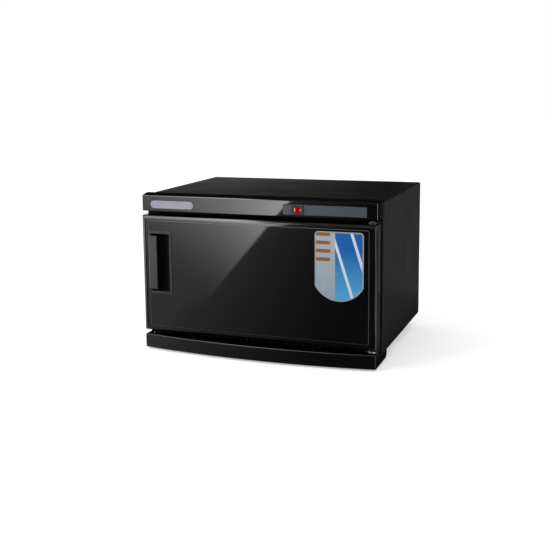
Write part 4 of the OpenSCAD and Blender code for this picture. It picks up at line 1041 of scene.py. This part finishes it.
@dataclass
class Studio:
    """A pale floor, soft light, reflection cards and the camera.

    The camera's target and distance are in mm as elsewhere. The other lengths are metres in the part's
    frame, levels are radiances, and spans give where a ramp starts and ends.
    """

    azimuth: float = 22.092
    elevation: float = 8.982
    roll: float = -0.868
    distance: float = 1295.768
    target: Triple = (-25.354, 0.0, 164.779)
    focal_px: float = 921.783
    centre_px: Pair = (243.115, 227.375)
    sensor: float = 36.0
    clip: Pair = (0.01, 100.0)
    world_light: float = 0.75
    key_place: Triple = (-0.9, -1.1, 1.3)
    key_aim: Triple = (0.0, 0.0, 0.1)
    key_side: float = 0.8
    key_watts: float = 9.0
    floor_half: float = 8.0
    floor_points: int = 9
    floor_lift: float = 0.42
    card_front: float = -0.05
    card_far: float = -4.0
    card_lift: float = 0.0015
    card_points: int = 90
    front_reach: Pair = (2.2, 2.6)
    front_fine: float = 0.005
    front_points: int = 60
    wall_top: float = 2.5
    wall_points: int = 26
    sky_x: Pair = (-3.6, 2.6)
    sky_points: int = 125
    rear_y: float = 0.32
    rear_top: float = 0.6
    rear_half: float = 1.2
    rear_points: int = 61
    rear_rows: tuple[int, int] = (8, 3)
    rear_low: Pair = (0.0, 0.28)
    rear_high: float = 0.3
    right_x: tuple[float, ...] = (0.1, 0.195, 0.205, 1.4)
    right_levels: tuple[float, ...] = (0.01, 0.01, 0.075, 0.075)
    right_points: int = 5
    line_x: float = -0.34
    line_y: float = -0.99
    line_slope: float = 0.234
    line_bend: Pair = (1.86, 2.06)
    line_half: float = 0.004
    line_points: int = 5
    door_top: Pair = (0.128, 0.197)
    plane_x: float = -0.012
    plane_lean: float = 0.374
    glow_level: float = 6.353
    glow_span: Pair = (0.325, 1.786)
    glow_reach: float = 0.122
    reach_y: float = -1.0
    reach_growth: float = 0.206
    least_reach: float = 0.03
    band_level: float = 0.189
    band_slope: float = 3.275
    weak_level: float = 0.354
    weak_reach: float = 0.264
    weak_power: float = 1.491
    even_levels: Pair = (0.01, 0.02)
    even_span: Pair = (0.12, 0.14)
    patches: tuple[EdgePatch, ...] = (
        EdgePatch(-1.0, 0.7, 1.8, (0.7, 2.6), 33.0, 25.0, 128.0, 8.0),
        EdgePatch(1.0, 2.0, -1.4, (0.5, 2.0), 20.0, 20.0, 84.0, 6.0, far_level=6.0))
    sight_z: Pair = (0.2829, 0.2814)
    top_level: float = 0.5
    top_span: Pair = (0.06, -0.3)
    side_level: float = 0.12
    side_start: Pair = (0.1, 0.18)
    side_end: Pair = (0.5, 0.44)
    rear_level: float = 0.006
    sky_level: float = 8.5
    sky_span: Pair = (120.0, 75.0)
    sky_reach: float = 0.3
    sky_step: float = 0.025
    haze_level: float = 0.35
    haze_span: Pair = (110.0, 100.0)
    dusk_level: float = 0.02

    def build_camera(self) -> None:
        """Sets the camera that was fitted to the photograph."""
        a, e, r = (math.radians(v) for v in (self.azimuth, self.elevation, self.roll))
        back = Vector((math.sin(a) * math.cos(e), -math.cos(a) * math.cos(e), math.sin(e)))
        right = Vector((math.cos(a), math.sin(a), 0.0))
        up = back.cross(right)
        right, up = right * math.cos(r) + up * math.sin(r), up * math.cos(r) - right * math.sin(r)
        data = bpy.data.cameras.new("camera")
        data.sensor_width = self.sensor
        data.lens = self.focal_px / PHOTO_SIDE * self.sensor
        data.shift_x = (PHOTO_SIDE / 2 - self.centre_px[0]) / PHOTO_SIDE
        data.shift_y = (self.centre_px[1] - PHOTO_SIDE / 2) / PHOTO_SIDE
        data.clip_start, data.clip_end = self.clip
        camera = linked("camera", data)
        place = Vector(placed(np.array(self.target))) + back * self.distance * MM
        turn = Matrix((right, up, back)).transposed()
        camera.matrix_world = Matrix.Translation(place) @ turn.to_4x4()
        bpy.context.scene.camera = camera

    def seen_rays(self, tree: Tree) -> bpy.types.NodeSocket:
        """Adds the nodes that tell the camera's, mirrors' and glass's rays from those of matt surfaces.

        Args:
            tree: The node tree that takes them.

        Returns:
            A socket that gives 1 to the former and 0 to the latter.
        """
        path = add(tree, "LightPath")
        seen = path.outputs["Is Camera Ray"]
        for kind in ("Is Glossy Ray", "Is Transmission Ray"):
            either = add(tree, "Math", {0: seen, 1: path.outputs[kind]}, operation="MAXIMUM")
            seen = either.outputs[0]
        return seen

    def build_world(self) -> None:
        """Makes a white world: 1 to the camera, mirrors and glass, and a plain level to matt surfaces."""
        world = bpy.data.worlds.new("studio_white")
        bpy.context.scene.world = world
        world.use_nodes = True
        tree = world.node_tree
        seen = self.seen_rays(tree)
        level = add(tree, "MapRange", {"Value": seen, "To Min": self.world_light, "To Max": 1.0})
        feed(tree, tree.nodes["Background"], {"Color": linear("#ffffff"), "Strength": level})

    def build_lamps(self) -> None:
        """Hangs one soft square lamp at the upper left in front."""
        data = bpy.data.lights.new("key_lamp", "AREA")
        data.shape = "SQUARE"
        data.size = self.key_side
        data.energy = self.key_watts
        lamp = linked("key_lamp", data)
        lamp.location = self.key_place
        lamp.rotation_mode = "QUATERNION"
        lamp.rotation_quaternion = (Vector(self.key_aim) - Vector(self.key_place)).to_track_quat("-Z", "Y")

    def build_floor(self) -> None:
        """Lays the pale floor, which is white to the camera where no shadow falls on it."""
        side = np.linspace(-self.floor_half, self.floor_half, self.floor_points)
        x, y = np.meshgrid(side, side)
        points = np.stack([x, y, np.zeros_like(x)], -1).reshape(-1, 3)
        floor = put_mesh("floor", points, grid_faces(*x.shape), turn_out=False)
        material = bpy.data.materials.new("pale_floor")
        material.use_nodes = True
        tree = material.node_tree
        lift = add(tree, "Math", {0: self.seen_rays(tree), 1: self.floor_lift}, operation="MULTIPLY")
        feed(tree, tree.nodes["Principled BSDF"], {
            "Base Color": linear("#f4f4f4"), "Roughness": 1.0, "Specular IOR Level": 0.0,
            "Emission Color": linear("#ffffff"), "Emission Strength": lift})
        floor.data.materials.append(material)

    def parting(self, y: Array) -> Array:
        """Gives the x of the slanting line on the front card that parts bright from dark.

        The line is straight as far as the fascia's front mirrors it, and bends from there to the plane
        in which the sky's own glow ends.

        Args:
            y: Place from the front to the rear in metres.

        Returns:
            The line's place from left to right.
        """
        line = self.line_x + self.line_slope * (y - self.line_y)
        plane = self.plane_x - self.plane_lean * np.hypot(-y - self.door_top[0], self.door_top[1])
        return line + (plane - line) * ramp(-y, *self.line_bend)

    def front_glow(self, place: Array) -> Array:
        """Works out how bright the front card is.

        The parting line divides a bright left from a dark right. On the left the glow rises with the
        distance in front by a smooth step and fades away from the line by a power of e, above a low
        band; on the right a weak glow fades to almost nothing over a quarter of a metre. The patches
        for the door's upright edges are added to them.

        Args:
            place: Grids of x, y and z in metres.

        Returns:
            The radiance at each point.
        """
        x, y, _ = place
        s = x - self.parting(y)
        left, right = np.maximum(-s, 0.0), np.maximum(s, 0.0)
        rise = ramp(-y, *self.glow_span)
        reach = np.maximum(self.glow_reach - self.reach_growth * (y - self.reach_y), self.least_reach)
        glow = self.glow_level * rise * rise * (3.0 - 2.0 * rise) * np.exp(-left / reach)
        band = np.minimum(self.band_slope * left, self.band_level)
        weak = self.weak_level * (1.0 - ramp(right, 0.0, self.weak_reach)) ** self.weak_power
        even = self.even_levels[0] + self.even_levels[1] * ramp(-y, *self.even_span)
        patches = sum(patch.glow(place) for patch in self.patches)
        return glow * ramp(s, self.line_half, -self.line_half) + band + weak + even + patches

    def rear_glow(self, place: Array) -> Array:
        """Works out how bright the rear card is.

        Below the line of sight over the fascia the glow fades from left to right, for the case's top;
        beyond the object's right side it has a low even level, for the case's side.

        Args:
            place: Grids of x, y and z in metres.

        Returns:
            The radiance at each point.
        """
        x, _, z = place
        top = self.top_level * ramp(x, *self.top_span)
        side = self.side_level * ramp(x, *self.side_start) * ramp(x, *self.side_end)
        return (top + side) * ramp(z, *self.sight_z) + self.rear_level

    def right_glow(self, place: Array) -> Array:
        """Gives the right card's levels: lowest close to the object, and higher beyond its side."""
        return np.broadcast_to(self.right_levels, place.shape[1:])

    def sky_glow(self, place: Array) -> Array:
        """Works out how bright the far wall and the roof are.

        The glow lies left of the plane that the door's upper edge mirrors along the parting line, which
        leans left by a share of the distance from that edge. It fades to the left by a power of e, and
        from half height to the zenith by a plain ramp.

        Args:
            place: Grids of x, y and z in metres.

        Returns:
            The radiance at each point.
        """
        x, y, z = place
        forward, upward = -y - self.door_top[0], z - self.door_top[1]
        steep, away = np.degrees(np.arctan2(upward, forward)), np.hypot(forward, upward)
        s = x - self.plane_x + self.plane_lean * away
        fade = np.exp(-np.maximum(-s, 0.0) / (self.sky_reach * away))
        glow = self.sky_level * ramp(steep, *self.sky_span) * fade
        haze = self.haze_level * ramp(steep, *self.haze_span) + self.dusk_level
        return glow * ramp(s, self.sky_step * away, -self.sky_step * away) + haze

    def build_cards(self) -> None:
        """Builds the surround that only mirrors see.

        It is a tunnel along x whose ends are open: a card on the floor in front, a wall far in front,
        a slanting roof, a wall close behind the object and a card on the floor at its right.
        """
        left, right = self.front_reach
        near = np.concatenate([-np.geomspace(left, self.front_fine, self.front_points),
                               np.linspace(-self.line_half, self.line_half, self.line_points),
                               np.geomspace(self.front_fine, right, self.front_points)])
        s, y = np.meshgrid(near, -np.geomspace(-self.card_front, -self.card_far, self.card_points))
        self.put_card("front_card", self.front_glow, s + self.parting(y), y, self.card_lift)
        wide = np.linspace(*self.sky_x, self.sky_points)
        x, z = np.meshgrid(wide, np.linspace(0.0, self.wall_top, self.wall_points))
        self.put_card("far_wall", self.sky_glow, x, self.card_far, z)
        x, t = np.meshgrid(wide, np.linspace(0.0, 1.0, self.card_points))
        y = self.card_far + t * (self.rear_y - self.card_far)
        z = self.wall_top + t * (self.rear_top - self.wall_top)
        self.put_card("roof", self.sky_glow, x, y, z)
        low_rows, high_rows = self.rear_rows
        height = np.concatenate([np.linspace(*self.rear_low, low_rows), self.sight_z[::-1],
                                 np.linspace(self.rear_high, self.rear_top, high_rows)])
        x, z = np.meshgrid(np.linspace(-self.rear_half, self.rear_half, self.rear_points), height)
        self.put_card("rear_card", self.rear_glow, x, self.rear_y, z)
        x, y = np.meshgrid(self.right_x, np.linspace(self.card_front, self.rear_y, self.right_points))
        self.put_card("right_card", self.right_glow, x, y, self.card_lift)

    def put_card(self, name: str, glow: Callable[[Array], Array], *place: float | Array) -> None:
        """Puts in one card of the surround.

        Args:
            name: The card's name.
            glow: Works out the radiance from grids of x, y and z.
            place: Grids of x, y and z in metres, or one number for a whole grid.
        """
        grids = np.stack(np.broadcast_arrays(*place))
        quads = grid_faces(*grids.shape[1:])
        card = put_mesh(name, grids.reshape(3, -1).T, quads, {"glow": glow(grids)}, turn_out=False)
        card.data.materials.append(self.shine)
        card.visible_camera = card.visible_diffuse = card.visible_shadow = card.visible_transmission = False

    def build_shine(self) -> None:
        """Makes the material of all the cards, which shine as the attribute glow says."""
        self.shine = bpy.data.materials.new("reflection_card")
        self.shine.use_nodes = True
        self.shine.cycles.emission_sampling = "NONE"
        tree = self.shine.node_tree
        tree.nodes.remove(tree.nodes["Principled BSDF"])
        level = add(tree, "Attribute", attribute_name="glow").outputs["Fac"]
        light = add(tree, "Emission", {"Color": linear("#ffffff"), "Strength": level})
        feed(tree, tree.nodes["Material Output"], {"Surface": light})

    def build(self) -> None:
        """Sets up the whole studio."""
        bpy.context.scene.view_settings.view_transform = "Standard"
        self.build_camera()
        self.build_world()
        self.build_lamps()
        self.build_floor()
        self.build_shine()
        self.build_cards()


def main() -> None:
    """Builds and dresses the sub-assemblies in order."""
    logging.basicConfig(level=logging.INFO, format="%(name)s: %(message)s")
    Studio().build()
    for assembly in (Cabinet(), Fascia(), Door(), Tray(), Chamber()):
        assembly.build()
        assembly.dress()
    Electrics().dress()


if __name__ == "__main__":
    main()
